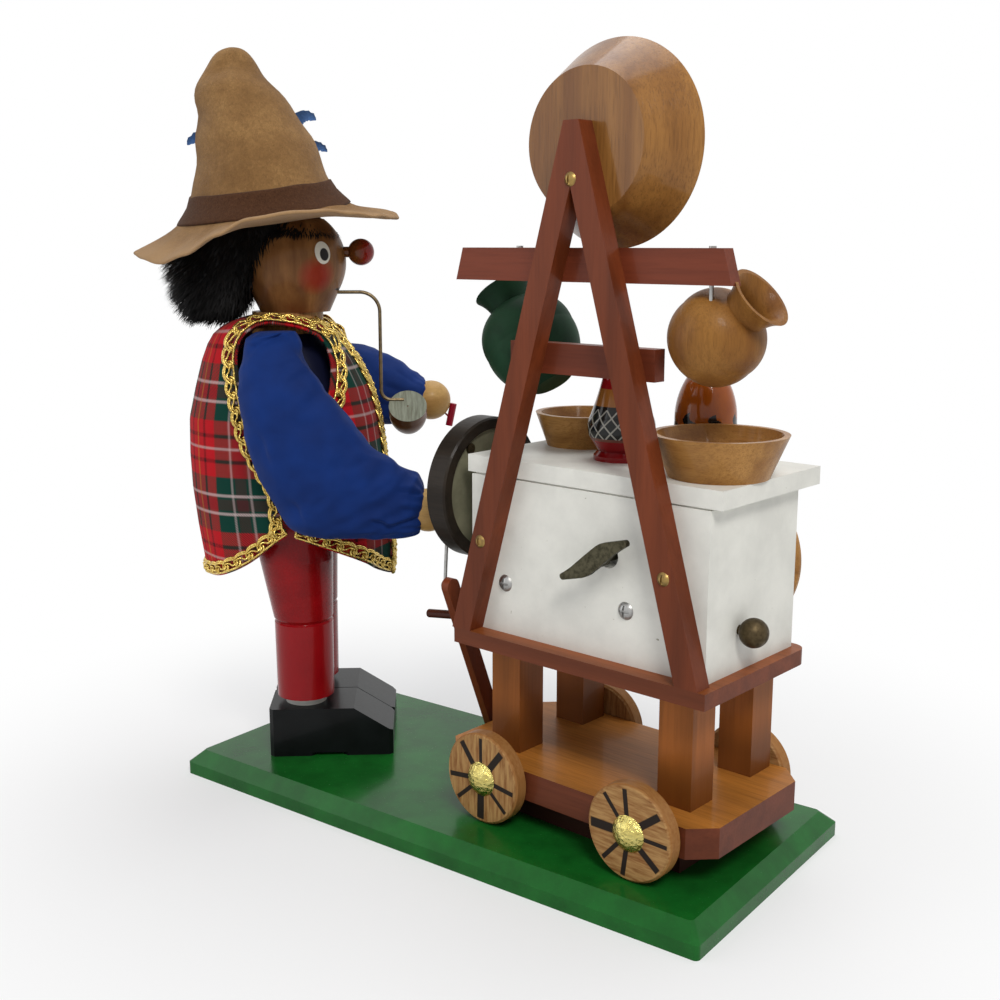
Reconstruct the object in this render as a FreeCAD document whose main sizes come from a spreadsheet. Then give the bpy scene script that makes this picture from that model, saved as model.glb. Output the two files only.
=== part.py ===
import FreeCAD, Part
import Sketcher
import math
import operator
import os

from FreeCAD import Placement, Rotation, Vector

# Driving sizes in millimetres, turns in degrees, grouped by the piece that carries them

BOARD = dict(
    board_length=270.0, board_width=123.0, board_height=11.2, board_bevel=5.5, board_corner=2.0,
)
CART = dict(
    cart_turn=4.9, cart_pivot_x=65.0, cart_pivot_y=3.5,
    chassis_left=-3.1, chassis_right=129.9, chassis_middle_y=1.0, chassis_width=73.1,
    chassis_bottom=24.4, chassis_height=12.1, chassis_corner=8.9,
    block_length=96.0, block_width=50.0,
    post_side=15.1, post_left_x=15.1, post_right_x=99.6, post_middle_y=6.0, post_span=57.9,
    tray_left=5.1, tray_right=127.2, tray_front=-35.5, tray_back=38.6, tray_bottom=82.9,
    tray_height=6.3, tray_corner=6.0,
)
CASE = dict(
    case_left=8.2, case_right=122.1, case_front=-27.5, case_back=34.5, case_height=64.1,
    wall=6.0, lid_gap=0.7, lid_step=1.2, lid_height=7.0, lid_left=6.0, lid_right=127.0, lid_back=42.0,
)
FRAME = dict(
    apex_x=64.0, apex_height=288.0, apex_half=3.4, foot_half=60.0, leg_width=9.5, leg_depth=8.0,
    rail_depth=6.0, upper_rail_share=0.7133, upper_rail_height=12.5,
    upper_rail_left=1.8, upper_rail_right=125.4, rail_slant=1.8,
    lower_rail_share=0.5397, lower_rail_height=11.7, lower_rail_left=29.0, lower_rail_right=97.0,
)
WHEEL = dict(
    wheel_radius=19.1, wheel_width=7.0, wheel_edge=1.0, wheel_left_x=26.6, wheel_right_x=100.6,
    wheel_rise=0.3, wheel_gap=0.25, nail_radius=7.2, nail_rise=3.4, nail_shank=1.5, nail_length=20.0,
    running_gap=0.1,
)
TURNED = dict(
    pan_drop=7.0, pan_base=26.2, pan_rim=38.0, pan_depth=20.0, pan_wall=3.0,
    bowl_wall=2.4, right_bowl_x=109.5, right_bowl_y=-3.0, right_bowl_base=18.7, right_bowl_rim=25.5,
    right_bowl_height=16.0,
    left_bowl_x=25.5, left_bowl_y=24.5, left_bowl_base=16.0, left_bowl_rim=21.0, left_bowl_height=14.0,
    lattice_x=60.0, lattice_y=3.7, lattice_foot=10.9, lattice_waist=9.2, lattice_belly=13.5,
    lattice_neck=8.1, lattice_height=38.0,
    flame_x=84.0, flame_y=27.0, flame_foot=9.5, flame_belly=12.3, flame_neck=7.6, flame_height=38.0,
    plate_radius=32.2, plate_x=90.0, plate_height=5.0, plate_rim=3.0,
    tan_x=114.0, tan_y=-14.5, tan_drop=18.4, tan_tilt=50.0, tan_belly=17.0, tan_foot=8.5,
    tan_foot_drop=15.0, tan_neck=8.5, tan_neck_rise=14.5, tan_lip=12.2, tan_lip_rise=22.5,
    green_x=20.0, green_y=-5.2, green_drop=24.5, green_tilt=-36.0, green_belly=19.2, green_foot=8.4,
    green_foot_drop=20.5, green_neck=9.0, green_neck_rise=16.5, green_lip=12.4, green_lip_rise=25.0,
    jug_wall=2.0, jug_mouth_depth=17.0,
)
FASTENERS = dict(
    screw_head=2.6, screw_rise=1.3, screw_shank=1.2, screw_length=12.5, screw_slot=0.7, screw_slot_depth=0.6,
    apex_screw_rise=2.3, leg_screw_rise=38.7,
    machine_head=3.5, machine_rise=1.8, machine_shank=1.6, machine_length=11.0,
    machine_cross=0.9, cross_share=0.66, machine_cross_depth=1.0,
    left_machine_x=26.4, right_machine_x=86.4, machine_screw_rise=21.0,
    brad_radius=0.8, brad_head=1.3, brad_head_height=0.7,
    left_brad_x=31.0, left_brad_length=11.0, right_brad_x=117.5, right_brad_length=18.5,
)
MOVEMENT = dict(
    bed_thickness=2.0, bed_left=20.0, bed_right=93.0, bed_drop=28.0, bed_rise=17.5,
    bracket_thickness=2.0, bracket_reach=34.0, bracket_height=24.0,
    drum_rise=40.8, drum_radius=8.5, drum_left=31.5, drum_right=58.5,
    arbor_radius=1.1, drum_arbor_left=16.5, bracket_left_x=27.5, bracket_right_x=61.6,
    gear_distance=13.0, gear_width=2.2, gear_x=19.0, gear_addendum=0.6, gear_dedendum=0.9,
    drive_radius=2.0, bush_radius=2.1,
    barrel_x=77.8, barrel_radius=14.0, barrel_depth=9.5, barrel_wall=1.6,
    crown_radius=12.4, crown_tooth=1.1, crown_width=2.0,
    pinion_width=2.6, key_arbor_radius=2.2,
    comb_thickness=1.2, comb_width=27.0, comb_depth=15.5, comb_gap=0.35, comb_slot=0.7, comb_bar=5.5,
    fly_distance=12.6, fly_radius=5.5, fly_thickness=0.9, fly_width=3.4,
    pin_length=0.5, pin_radius=0.35,
)
CONTROLS = dict(
    key_hole_radius=4.7, key_span=35.2, key_plate=2.4, key_bulge=4.3, key_clear=2.6, key_tilt=29.8,
    key_hub_radius=3.2, key_hub_length=4.9,
    knob_radius=5.6, knob_y=-5.4, knob_rise=16.0, knob_rod=1.8, knob_rod_inside=8.0, knob_stand=0.6,
)
GRINDER = dict(
    axle_y=-5.5, ring_radius=30.3, ring_bore=25.5, ring_left=-10.5, ring_width=10.5,
    disc_thickness=5.5, disc_recess=1.5,
    crank_radius=22.6, crank_angle=125.4, crank_shank=0.9, crank_head=2.2, crank_head_height=1.1,
    rod_radius=0.75, rod_eye=1.6, rod_gap=0.35, rod_end_gap=1.0,
    treadle_axis_y=5.4, treadle_axis_height=30.5, treadle_length=76.3, treadle_lean=21.5,
    treadle_thickness=4.0, treadle_width=7.0, treadle_left=-11.5, treadle_gap=0.15,
    pivot_radius=1.6, pivot_head=3.2, pivot_head_height=1.6, pivot_washer=4.0,
    rod_pin_radius=0.8, rod_pin_stand=2.6,
    peg_radius=1.9, peg_length=18.0, peg_drop=15.0, peg_dip=10.0,
)
FIGURE = dict(
    figure_x=-103.8, figure_y=-11.3, figure_turn=40.0,
    shoe_heel=-16.0, shoe_toe=41.0, shoe_width=28.4, shoe_gap=0.6, shoe_height=23.0, shoe_flat_end=23.0,
    toe_height=11.5, heel_end=5.0, arch_rise=1.6, arch_end=18.0,
    leg_side=14.5, sock_radius=9.5, sock_height=3.6, shin_radius=13.2, shin_top_radius=13.5,
    knee_height=74.0, knee_step=0.8, thigh_radius=16.8, thigh_top=113.0, thigh_lean=3.4,
    hip_radius=32.0, hip_height=6.0, spigot_radius=27.4, spigot_height=4.0,
    dish_radius=13.0, dish_rise=3.0, dish_wall=1.0,
)
BODY = dict(
    torso_shift=-4.5, torso_wall=5.0, torso_bottom_radius=33.0, torso_radius=36.0, torso_wide_share=0.3208,
    torso_chest_share=0.6748, torso_chest_radius=31.0, torso_shoulder_share=0.896,
    torso_shoulder_radius=20.5, neck_height=209.4, neck_radius=13.6, collar_radius=16.0, collar_height=5.5,
    smoke_bore=4.0, torso_fit=0.4,
    head_shift=-1.0, head_rise=22.1, head_radius=23.5, head_taper=24.7, head_height=41.1,
    mouth_rise=11.7, mouth_bore=1.5,
    nose_front=35.3, nose_rise=26.4, nose_radius=6.0, nose_neck=2.4, nose_depth=6.0,
)
SOFT = dict(
    hair_drop=7.3, hair_back=-58.5, hair_front=-9.0, hair_half_width=33.0,
    hat_shift=-12.3, hat_rise=34.9, hat_tilt=7.0, hat_roll=5.0, brim_radius=58.5, brim_half_width=55.0,
    brim_thickness=2.5, brim_rise=8.5,
    band_height=11.5, band_thickness=0.8, crown_base_radius=37.0, crown_height=79.0, crown_shift=-3.5,
    vest_wall=3.0, vest_length=117.4, vest_hem_half=43.5, vest_chest_half=44.5,
    vest_neck_half=25.0, vest_half_width=40.5, vest_neck_half_width=23.5,
    armhole_half=16.5, armhole_drop=19.4, armhole_depth=40.0, side_slit_half=7.0,
    sleeve_side=46.5, sleeve_wide=13.5, cuff_front=56.0,
    hand_radius=9.5, near_hand_front=58.6, near_hand_drop=79.0, near_hand_side=-42.0,
    far_hand_front=60.3, far_hand_drop=39.2, far_hand_side=30.0,
)
PIPE = dict(
    stem_radius=0.8, stem_start=17.0, stem_rise=8.5, stem_bend=37.3, stem_bend_radius=9.0,
    stem_drop=40.9, stem_foot_reach=6.0,
    bowl_front=49.5, bowl_drop=43.5, bowl_radius=8.8, bowl_depth=17.0, bowl_lean=47.0, bowl_dot=0.5,
    wire_radius=0.45, wire_length=13.0, stick_radius=1.7, stick_length=11.0, stick_lean=12.0,
)
SIZES = {
    **BOARD, **CART, **CASE, **FRAME, **WHEEL, **TURNED, **FASTENERS, **MOVEMENT, **CONTROLS,
    **GRINDER, **FIGURE, **BODY, **SOFT, **PIPE,
}

# Counts of what repeats
GEAR_TEETH = 13
BARREL_TEETH = 34
PINION_TEETH = 10
FLY_WHEEL_TEETH = 20
FLY_PINION_TEETH = 8
COMB_TEETH = 18
DRUM_PINS = 12

UP = Vector(0, 0, 1)
ALONG_X = Vector(1, 0, 0)
ALONG_Y = Vector(0, 1, 0)

doc = FreeCAD.newDocument("incense_smoker")
sheet = doc.addObject("Spreadsheet::Sheet", "sizes")
nodes = []


class Size:
    """A length or share that knows its value and how the sheet spells it."""

    def __init__(self, value, text):
        self.value = value
        self.text = text

    def joined(self, other, sign, work, swap=False):
        other = as_size(other)
        left, right = (other, self) if swap else (self, other)
        return Size(work(left.value, right.value), f"({left.text} {sign} {right.text})")

    def __add__(self, other):
        return self.joined(other, "+", operator.add)

    def __radd__(self, other):
        return self.joined(other, "+", operator.add, True)

    def __sub__(self, other):
        return self.joined(other, "-", operator.sub)

    def __rsub__(self, other):
        return self.joined(other, "-", operator.sub, True)

    def __mul__(self, other):
        return self.joined(other, "*", operator.mul)

    def __rmul__(self, other):
        return self.joined(other, "*", operator.mul, True)

    def __truediv__(self, other):
        return self.joined(other, "/", operator.truediv)

    def __neg__(self):
        return 0 - self

    def __float__(self):
        return float(self.value)


class Names:
    """The sheet's cells, read by name."""


def as_size(value):
    return value if isinstance(value, Size) else Size(value, str(value))


def cosine(degrees):
    return Size(math.cos(math.radians(degrees.value)), f"cos({degrees.text})")


def sine(degrees):
    return Size(math.sin(math.radians(degrees.value)), f"sin({degrees.text})")


def write_sheet():
    """Each driving size gets a row: its name, its number and its alias."""
    names = Names()
    for row, (name, value) in enumerate(SIZES.items(), start=1):
        sheet.set(f"A{row}", name)
        sheet.set(f"B{row}", str(value))
        sheet.setAlias(f"B{row}", name)
        setattr(names, name, Size(value, f"sizes.{name}"))
    doc.recompute()
    return names


S = write_sheet()


def point(x, y, z):
    return Vector(float(x), float(y), float(z))


def turned_about(x, y, degrees):
    """A frame turned about the upright line through x, y."""
    rotation = Rotation(UP, degrees)
    pivot = point(x, y, 0)
    return Placement(pivot - rotation.multVec(pivot), rotation)


CART_FRAME = turned_about(S.cart_pivot_x, S.cart_pivot_y, -S.cart_turn.value)
FIGURE_FRAME = Placement(point(S.figure_x, S.figure_y, 0), Rotation(UP, S.figure_turn.value))
BOARD_FRAME = Placement()


def at(frame, x, y, z, rotation=None):
    return frame.multiply(Placement(point(x, y, z), rotation or Rotation()))


def towards(direction):
    return Rotation(UP, direction)


def hypotenuse(x, y):
    x, y = as_size(x), as_size(y)
    return Size(math.hypot(x.value, y.value), f"sqrt({x.text}^2 + {y.text}^2)")


def cap_middle(radius, rise):
    """The middle of the arc of a round cap, from its rim up to its top."""
    sphere = (radius * radius + rise * rise) / (2 * rise)
    share = sphere / hypotenuse(radius / 2, sphere - rise / 2)
    return (radius / 2 * share, rise - sphere + (sphere - rise / 2) * share)


def node(name, item):
    """Gives a finished sub-part its name."""
    item.Label = name
    nodes.append(item)
    return item


# Sketches whose corners are tied to the sheet

def plane_of(body, role):
    return next(f for f in body.Origin.OriginFeatures if f.Role == role)


def new_sketch(body, role, offset=0):
    sketch = body.newObject("Sketcher::SketchObject", body.Name + "_sketch")
    sketch.AttachmentSupport = [(plane_of(body, role), "")]
    sketch.MapMode = "FlatFace"
    if isinstance(offset, Size):
        sketch.setExpression(".AttachmentOffset.Base.z", offset.text)
    return sketch


def tie(sketch, kind, geometry, place, value):
    """Holds one coordinate of a point at a named size, or on the axis where it is zero."""
    if not isinstance(value, Size):
        axis = -2 if kind == "DistanceX" else -1
        sketch.addConstraint(Sketcher.Constraint("PointOnObject", geometry, place, axis))
        return
    made = Sketcher.Constraint(kind, -1, 1, geometry, place, value.value)
    number = sketch.addConstraint(made)
    sketch.setExpression(f"Constraints[{number}]", value.text)


def tie_point(sketch, geometry, place, x, y):
    tie(sketch, "DistanceX", geometry, place, x)
    tie(sketch, "DistanceY", geometry, place, y)


def draw_arc(sketch, start, middle, end):
    """Adds an arc through three points and says which of its ends is the start."""
    a, m, b = (point(p[0], p[1], 0) for p in (start, middle, end))
    anticlockwise = (m - a).cross(b - m).z > 0
    if not anticlockwise:
        a, b = b, a
    number = sketch.addGeometry(Part.Arc(a, m, b), False)
    dot = sketch.addGeometry(Part.Point(m), True)
    tie_point(sketch, dot, 1, middle[0], middle[1])
    sketch.addConstraint(Sketcher.Constraint("PointOnObject", dot, 1, number))
    return number, (1, 2) if anticlockwise else (2, 1)


def draw_outline(sketch, corners):
    """A closed outline. A corner that carries a third value starts an arc through that point."""
    ends = []
    following = corners[1:] + corners[:1]
    for corner, after in zip(corners, following):
        if len(corner) == 3:
            number, places = draw_arc(sketch, corner, corner[2], after)
        else:
            line = Part.LineSegment(point(corner[0], corner[1], 0), point(after[0], after[1], 0))
            number, places = sketch.addGeometry(line, False), (1, 2)
        ends.append((number, places))
    for index, (number, places) in enumerate(ends):
        later, later_places = ends[(index + 1) % len(ends)]
        sketch.addConstraint(Sketcher.Constraint("Coincident", number, places[1], later, later_places[0]))
    for (number, places), corner in zip(ends, corners):
        tie_point(sketch, number, places[0], corner[0], corner[1])


def new_body(name):
    return doc.addObject("PartDesign::Body", name)


def turned(name, profile, placement):
    """A piece turned on a lathe: its profile lists radius and height."""
    body = new_body(name)
    sketch = new_sketch(body, "XZ_Plane")
    draw_outline(sketch, profile)
    turning = body.newObject("PartDesign::Revolution", name + "_turning")
    turning.Profile = sketch
    turning.ReferenceAxis = (sketch, ["V_Axis"])
    turning.Angle = 360
    body.Placement = placement
    return body


def sawn(name, role, corners, start, thickness, placement):
    """A board cut to an outline, from one plane and as thick as given."""
    body = new_body(name)
    offset = start
    if role == "XZ_Plane":
        offset = -(as_size(start) + thickness)
    sketch = new_sketch(body, role, offset)
    draw_outline(sketch, corners)
    board = body.newObject("PartDesign::Pad", name + "_board")
    board.Profile = sketch
    board.setExpression("Length", thickness.text)
    body.Placement = placement
    return body


def box(name, low, high, placement):
    """A block between two corners."""
    item = doc.addObject("Part::Box", name)
    for side, first, last in zip(("Length", "Width", "Height"), low, high):
        item.setExpression(side, (as_size(last) - first).text)
    item.Placement = placement.multiply(Placement(point(*low), Rotation()))
    return item


def rod(name, radius, length, placement):
    item = doc.addObject("Part::Cylinder", name)
    item.setExpression("Radius", as_size(radius).text)
    item.setExpression("Height", as_size(length).text)
    item.Placement = placement
    return item


def ball(name, radius, placement):
    item = doc.addObject("Part::Sphere", name)
    item.setExpression("Radius", radius.text)
    item.Placement = placement
    return item


def cut(name, base, tools):
    """The base without its tools, which are used as they lie."""
    tool = tools[0]
    if len(tools) > 1:
        tool = doc.addObject("Part::Compound", name + "_tools")
        tool.Links = tools
    item = doc.addObject("Part::Cut", name)
    item.Base = base
    item.Tool = tool
    return item


def fuse(name, pieces):
    item = doc.addObject("Part::MultiFuse", name)
    item.Shapes = pieces
    item.Refine = True
    return item


def group(name, pieces):
    """Like pieces that share one node."""
    item = doc.addObject("Part::Compound", name)
    item.Links = pieces
    return item


def formed(name, shape, placement=None):
    """A piece whose surface is worked out below from the sheet's sizes."""
    item = doc.addObject("Part::Feature", name)
    item.Shape = shape
    if placement:
        item.Placement = placement
    return item


def vertical_edges(feature):
    """The names of a pad's upright edges."""
    found = []
    for number, edge in enumerate(feature.Shape.Edges, start=1):
        ends = [v.Point for v in edge.Vertexes]
        if len(ends) == 2 and abs((ends[1] - ends[0]).normalize().z) == 1:
            found.append(f"Edge{number}")
    return found


# The base board

def rounded_rectangle(half_length, half_width, corner):
    """A rectangle about the middle, with round corners."""
    bend = corner * (1 - math.sqrt(0.5))
    points = []
    for x, y in ((1, -1), (1, 1), (-1, 1), (-1, -1)):
        middle = (x * (half_length - bend), y * (half_width - bend))
        first = (x * (half_length - corner), y * half_width, middle)
        second = (x * half_length, y * (half_width - corner), middle)
        if x * y > 0:
            first, second = (second[0], second[1], middle), first
        points += [first, second[:2]]
    return points


def build_board():
    """The board: upright sides below and a bevel above them."""
    half_length = S.board_length / 2
    half_width = S.board_width / 2
    side = S.board_height - S.board_bevel
    outline = rounded_rectangle(half_length, half_width, S.board_corner)
    body = sawn("base_board", "XY_Plane", outline, 0, side, BOARD_FRAME)
    lower = new_sketch(body, "XY_Plane", side)
    draw_outline(lower, outline)
    upper = new_sketch(body, "XY_Plane", S.board_height)
    inset = S.board_bevel
    draw_outline(upper, rounded_rectangle(half_length - inset, half_width - inset, S.board_corner))
    bevel = body.newObject("PartDesign::AdditiveLoft", "board_bevel_part")
    bevel.Profile = lower
    bevel.Sections = [upper]
    bevel.Ruled = True
    node("base_board", body)


# The cart under the case

WHEEL_MIDDLE = S.board_height + S.wheel_radius + S.wheel_rise
CHASSIS_NEAR = S.chassis_middle_y - S.chassis_width / 2
CHASSIS_FAR = S.chassis_middle_y + S.chassis_width / 2
CHASSIS_TOP = S.chassis_bottom + S.chassis_height
TRAY_TOP = S.tray_bottom + S.tray_height
CASE_TOP = TRAY_TOP + S.case_height
DRUM_HEIGHT = TRAY_TOP + S.drum_rise
BED_BOTTOM = DRUM_HEIGHT - S.bed_drop
BED_TOP = DRUM_HEIGHT + S.bed_rise
UPPER_RAIL = TRAY_TOP + (S.apex_height - TRAY_TOP) * S.upper_rail_share
LOWER_RAIL = TRAY_TOP + (S.apex_height - TRAY_TOP) * S.lower_rail_share
LID_BOTTOM = CASE_TOP + S.lid_gap
LID_TOP = LID_BOTTOM + S.lid_height
WALL_NEAR = S.case_front + S.wall
WALL_FAR = S.case_back - S.wall
WALL_LEFT = S.case_left + S.wall
WALL_RIGHT = S.case_right - S.wall
LEG_FRONT = S.case_front - S.leg_depth


def hub_nail(index, x, y, direction):
    dome_middle = cap_middle(S.nail_radius, S.nail_rise)
    profile = [
        (0, -S.nail_length), (S.nail_shank, -S.nail_length), (S.nail_shank, 0), (S.nail_radius, 0, dome_middle),
        (0, S.nail_rise),
    ]
    return turned(f"hub_nail_{index}", profile, at(CART_FRAME, x, y, WHEEL_MIDDLE, towards(direction)))


def cart_wheel(name, x, y, direction):
    """A plain turned disc with broken edges. Zero is its inner face."""
    bore = S.nail_shank + S.running_gap
    edge = S.wheel_edge
    profile = [
        (bore, 0), (S.wheel_radius - edge, 0), (S.wheel_radius, edge), (S.wheel_radius, S.wheel_width - edge),
        (S.wheel_radius - edge, S.wheel_width), (bore, S.wheel_width),
    ]
    node(name, turned(name, profile, at(CART_FRAME, x, y, WHEEL_MIDDLE, towards(direction))))


def build_wheels():
    """Four wheels, each on its own domed nail."""
    nails = []
    near = CHASSIS_NEAR - S.wheel_gap
    far = CHASSIS_FAR + S.wheel_gap
    reach = S.wheel_width + S.running_gap
    for side, x in (("left", S.wheel_left_x), ("right", S.wheel_right_x)):
        cart_wheel(f"cart_wheel_near_{side}", x, near, -ALONG_Y)
        cart_wheel(f"cart_wheel_far_{side}", x, far, ALONG_Y)
        nails.append(hub_nail(len(nails), x, near - reach, -ALONG_Y))
        nails.append(hub_nail(len(nails), x, far + reach, ALONG_Y))
    return node("hub_nails", group("hub_nails", nails))


def build_chassis(nails, pivot):
    corner = S.chassis_corner
    left, right, front, back = S.chassis_left, S.chassis_right, CHASSIS_NEAR, CHASSIS_FAR
    outline = [
        (left + corner, front), (right - corner, front), (right, front + corner), (right, back - corner),
        (right - corner, back), (left + corner, back), (left, back - corner), (left, front + corner),
    ]
    slab = sawn("chassis_slab", "XY_Plane", outline, S.chassis_bottom, S.chassis_height, CART_FRAME)
    node("cart_chassis", cut("cart_chassis", slab, [nails, pivot]))


def build_support_block():
    """The plain block, hidden under the chassis, that the cart is glued down by."""
    middle = (S.chassis_left + S.chassis_right) / 2
    low = (middle - S.block_length / 2, S.chassis_middle_y - S.block_width / 2, S.board_height)
    high = (middle + S.block_length / 2, S.chassis_middle_y + S.block_width / 2, S.chassis_bottom)
    node("cart_support_block", box("cart_support_block", low, high, CART_FRAME))


def build_posts():
    posts = []
    front = S.post_middle_y - S.post_span / 2
    back = S.post_middle_y + S.post_span / 2 - S.post_side
    for x in (S.post_left_x, S.post_right_x):
        for y in (front, back):
            low = (x, y, CHASSIS_TOP)
            high = (x + S.post_side, y + S.post_side, S.tray_bottom)
            posts.append(box(f"post_{len(posts)}", low, high, CART_FRAME))
    node("cart_posts", group("cart_posts", posts))


def build_tray():
    """The shelf that the case and the frame stand on, rounded at its far right corner."""
    corner = S.tray_corner
    bend = corner * (1 - math.sqrt(0.5))
    middle = (S.tray_right - bend, S.tray_back - bend)
    outline = [
        (S.tray_left, S.tray_front), (S.tray_right, S.tray_front),
        (S.tray_right, S.tray_back - corner, middle), (S.tray_right - corner, S.tray_back),
        (S.tray_left, S.tray_back),
    ]
    node("cart_tray", sawn("cart_tray", "XY_Plane", outline, S.tray_bottom, S.tray_height, CART_FRAME))


# The case with the musical movement

def build_case(near_tools, bush, knob_hole):
    low = (S.case_left, S.case_front, TRAY_TOP)
    near = box("near_blank", low, (S.case_right, WALL_NEAR, CASE_TOP), CART_FRAME)
    node("case_near_wall", cut("case_near_wall", near, near_tools))
    far_low = (S.case_left, WALL_FAR, TRAY_TOP)
    node("case_far_wall", box("case_far_wall", far_low, (S.case_right, S.case_back, CASE_TOP), CART_FRAME))
    left = box("left_blank", (S.case_left, WALL_NEAR, TRAY_TOP), (WALL_LEFT, WALL_FAR, CASE_TOP), CART_FRAME)
    right = box("right_blank", (WALL_RIGHT, WALL_NEAR, TRAY_TOP), (S.case_right, WALL_FAR, CASE_TOP), CART_FRAME)
    ends = [cut("left_end", left, [bush]), cut("right_end", right, [knob_hole])]
    node("case_end_walls", group("case_end_walls", ends))


def build_lid():
    """The overhanging lid, on a smaller step that leaves a dark line above the walls."""
    step = S.lid_step
    board_low = (S.lid_left, S.case_front, LID_BOTTOM)
    board = box("lid_board", board_low, (S.lid_right, S.lid_back, LID_TOP), CART_FRAME)
    step_low = (S.case_left + step, S.case_front + step, CASE_TOP)
    step_high = (S.case_right - step, S.case_back - step, LID_BOTTOM)
    node("case_lid", fuse("case_lid", [board, box("lid_rebate", step_low, step_high, CART_FRAME)]))


# The frame that stands before the case

def leg_outline(side):
    """One leg, mitred on the middle line. Side is -1 for the left leg and 1 for the right one."""
    rise = S.apex_height - TRAY_TOP
    run = S.foot_half - S.apex_half
    slope = run / rise
    inner = S.foot_half - S.leg_width * hypotenuse(run, rise) / rise
    corners = [
        (S.apex_x + side * S.foot_half, TRAY_TOP), (S.apex_x + side * S.apex_half, S.apex_height),
        (S.apex_x, S.apex_height), (S.apex_x, TRAY_TOP + inner / slope), (S.apex_x + side * inner, TRAY_TOP),
    ]
    return corners


def build_legs(screws):
    legs = []
    for side in (-1, 1):
        name = f"leg_{len(legs)}"
        leg = sawn(name, "XZ_Plane", leg_outline(side), LEG_FRONT, S.leg_depth, CART_FRAME)
        legs.append(cut(name + "_drilled", leg, [screws]))
    node("frame_legs", group("frame_legs", legs))


def build_rails(brads):
    top = UPPER_RAIL + S.upper_rail_height
    slant = S.rail_slant
    left, right = S.upper_rail_left, S.upper_rail_right
    outline = [
        (left - slant, UPPER_RAIL), (right + slant, UPPER_RAIL), (right - slant, top),
        (left + slant, top),
    ]
    rail = sawn("upper_blank", "XZ_Plane", outline, S.case_front, S.rail_depth, CART_FRAME)
    upper = node("upper_rail", cut("upper_rail", rail, [brads]))
    low = (S.lower_rail_left, S.case_front, LOWER_RAIL)
    back = S.case_front + S.rail_depth
    high = (S.lower_rail_right, back, LOWER_RAIL + S.lower_rail_height)
    lower = node("lower_rail", box("lower_rail", low, high, CART_FRAME))
    return [upper, lower]


# Fasteners

def slotted_screw(index, x, z):
    """A brass round-head wood screw that looks towards the near side."""
    profile = [
        (0, -S.screw_length), (S.screw_shank, -S.screw_length), (S.screw_shank, 0),
        (S.screw_head, 0, cap_middle(S.screw_head, S.screw_rise)), (0, S.screw_rise),
    ]
    place = at(CART_FRAME, x, LEG_FRONT, z, towards(-ALONG_Y))
    blank = turned(f"screw_{index}", profile, place)
    half = S.screw_slot / 2
    low = (-half, -S.screw_head, S.screw_rise - S.screw_slot_depth)
    slot = box(f"slot_{index}", low, (half, S.screw_head, S.screw_rise + S.screw_slot_depth), place)
    return cut(f"slotted_screw_{index}", blank, [slot])


def build_frame_screws():
    """Two screws into the case and one into the pan."""
    rise = S.apex_height - TRAY_TOP
    run = S.foot_half - S.apex_half
    middle = S.foot_half - S.leg_width / 2 - run * S.leg_screw_rise / rise
    height = TRAY_TOP + S.leg_screw_rise
    screws = [
        slotted_screw(0, S.apex_x - middle, height), slotted_screw(1, S.apex_x + middle, height),
        slotted_screw(2, S.apex_x, leg_outline(1)[3][1] + S.apex_screw_rise),
    ]
    return node("frame_screws", group("frame_screws", screws))


def build_movement_screws():
    screws = []
    for x in (S.left_machine_x, S.right_machine_x):
        profile = [
            (0, -S.machine_length), (S.machine_shank, -S.machine_length), (S.machine_shank, 0),
            (S.machine_head, 0, cap_middle(S.machine_head, S.machine_rise)), (0, S.machine_rise),
        ]
        place = at(CART_FRAME, x, S.case_front, TRAY_TOP + S.machine_screw_rise, towards(-ALONG_Y))
        index = len(screws)
        blank = turned(f"machine_blank_{index}", profile, place)
        half = S.machine_cross / 2
        reach = S.machine_head * S.cross_share
        floor = S.machine_rise - S.machine_cross_depth
        bars = [
            box(f"cross_{index}_level", (-reach, -half, floor), (reach, half, S.machine_rise * 2), place),
            box(f"cross_{index}_upright", (-half, -reach, floor), (half, reach, S.machine_rise * 2), place),
        ]
        screws.append(cut(f"machine_screw_{index}", blank, bars))
    return node("movement_screws", group("movement_screws", screws))


def build_brads():
    """Two brads in the upper rail. The longer one holds the tan jug that hangs under it."""
    brads = []
    top = UPPER_RAIL + S.upper_rail_height
    for x, length in ((S.left_brad_x, S.left_brad_length), (S.right_brad_x, S.right_brad_length)):
        profile = [
            (0, -length), (S.brad_radius, -length), (S.brad_radius, 0), (S.brad_head, 0),
            (S.brad_head, S.brad_head_height), (0, S.brad_head_height),
        ]
        place = at(CART_FRAME, x, S.case_front + S.rail_depth / 2, top)
        brads.append(turned(f"brad_{len(brads)}", profile, place))
    return node("rail_brads", group("rail_brads", brads))


# Turned kitchen ware

def bowl_profile(base, rim, height, wall):
    """A bowl with straight sides, hollowed with a round bottom."""
    floor_radius = base - wall * 2
    bend = (base - wall * 0.6, wall * 1.6)
    return [
        (0, 0), (base, 0), (rim, height), (rim - wall, height), (base, wall * 3, bend), (floor_radius, wall),
        (0, wall),
    ]


def build_bowls():
    right = bowl_profile(S.right_bowl_base, S.right_bowl_rim, S.right_bowl_height, S.bowl_wall)
    place = at(CART_FRAME, S.right_bowl_x, S.right_bowl_y, LID_TOP)
    node("bowl_right", turned("bowl_right", right, place))
    left = bowl_profile(S.left_bowl_base, S.left_bowl_rim, S.left_bowl_height, S.bowl_wall)
    node("bowl_left", turned("bowl_left", left, at(CART_FRAME, S.left_bowl_x, S.left_bowl_y, LID_TOP)))


def build_pan(screws):
    profile = bowl_profile(S.pan_base, S.pan_rim, S.pan_depth, S.pan_wall)
    place = at(CART_FRAME, S.apex_x, S.case_front, S.apex_height - S.pan_drop, towards(ALONG_Y))
    blank = turned("pan_blank", profile, place)
    node("large_pan", cut("large_pan", blank, [screws]))


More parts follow.
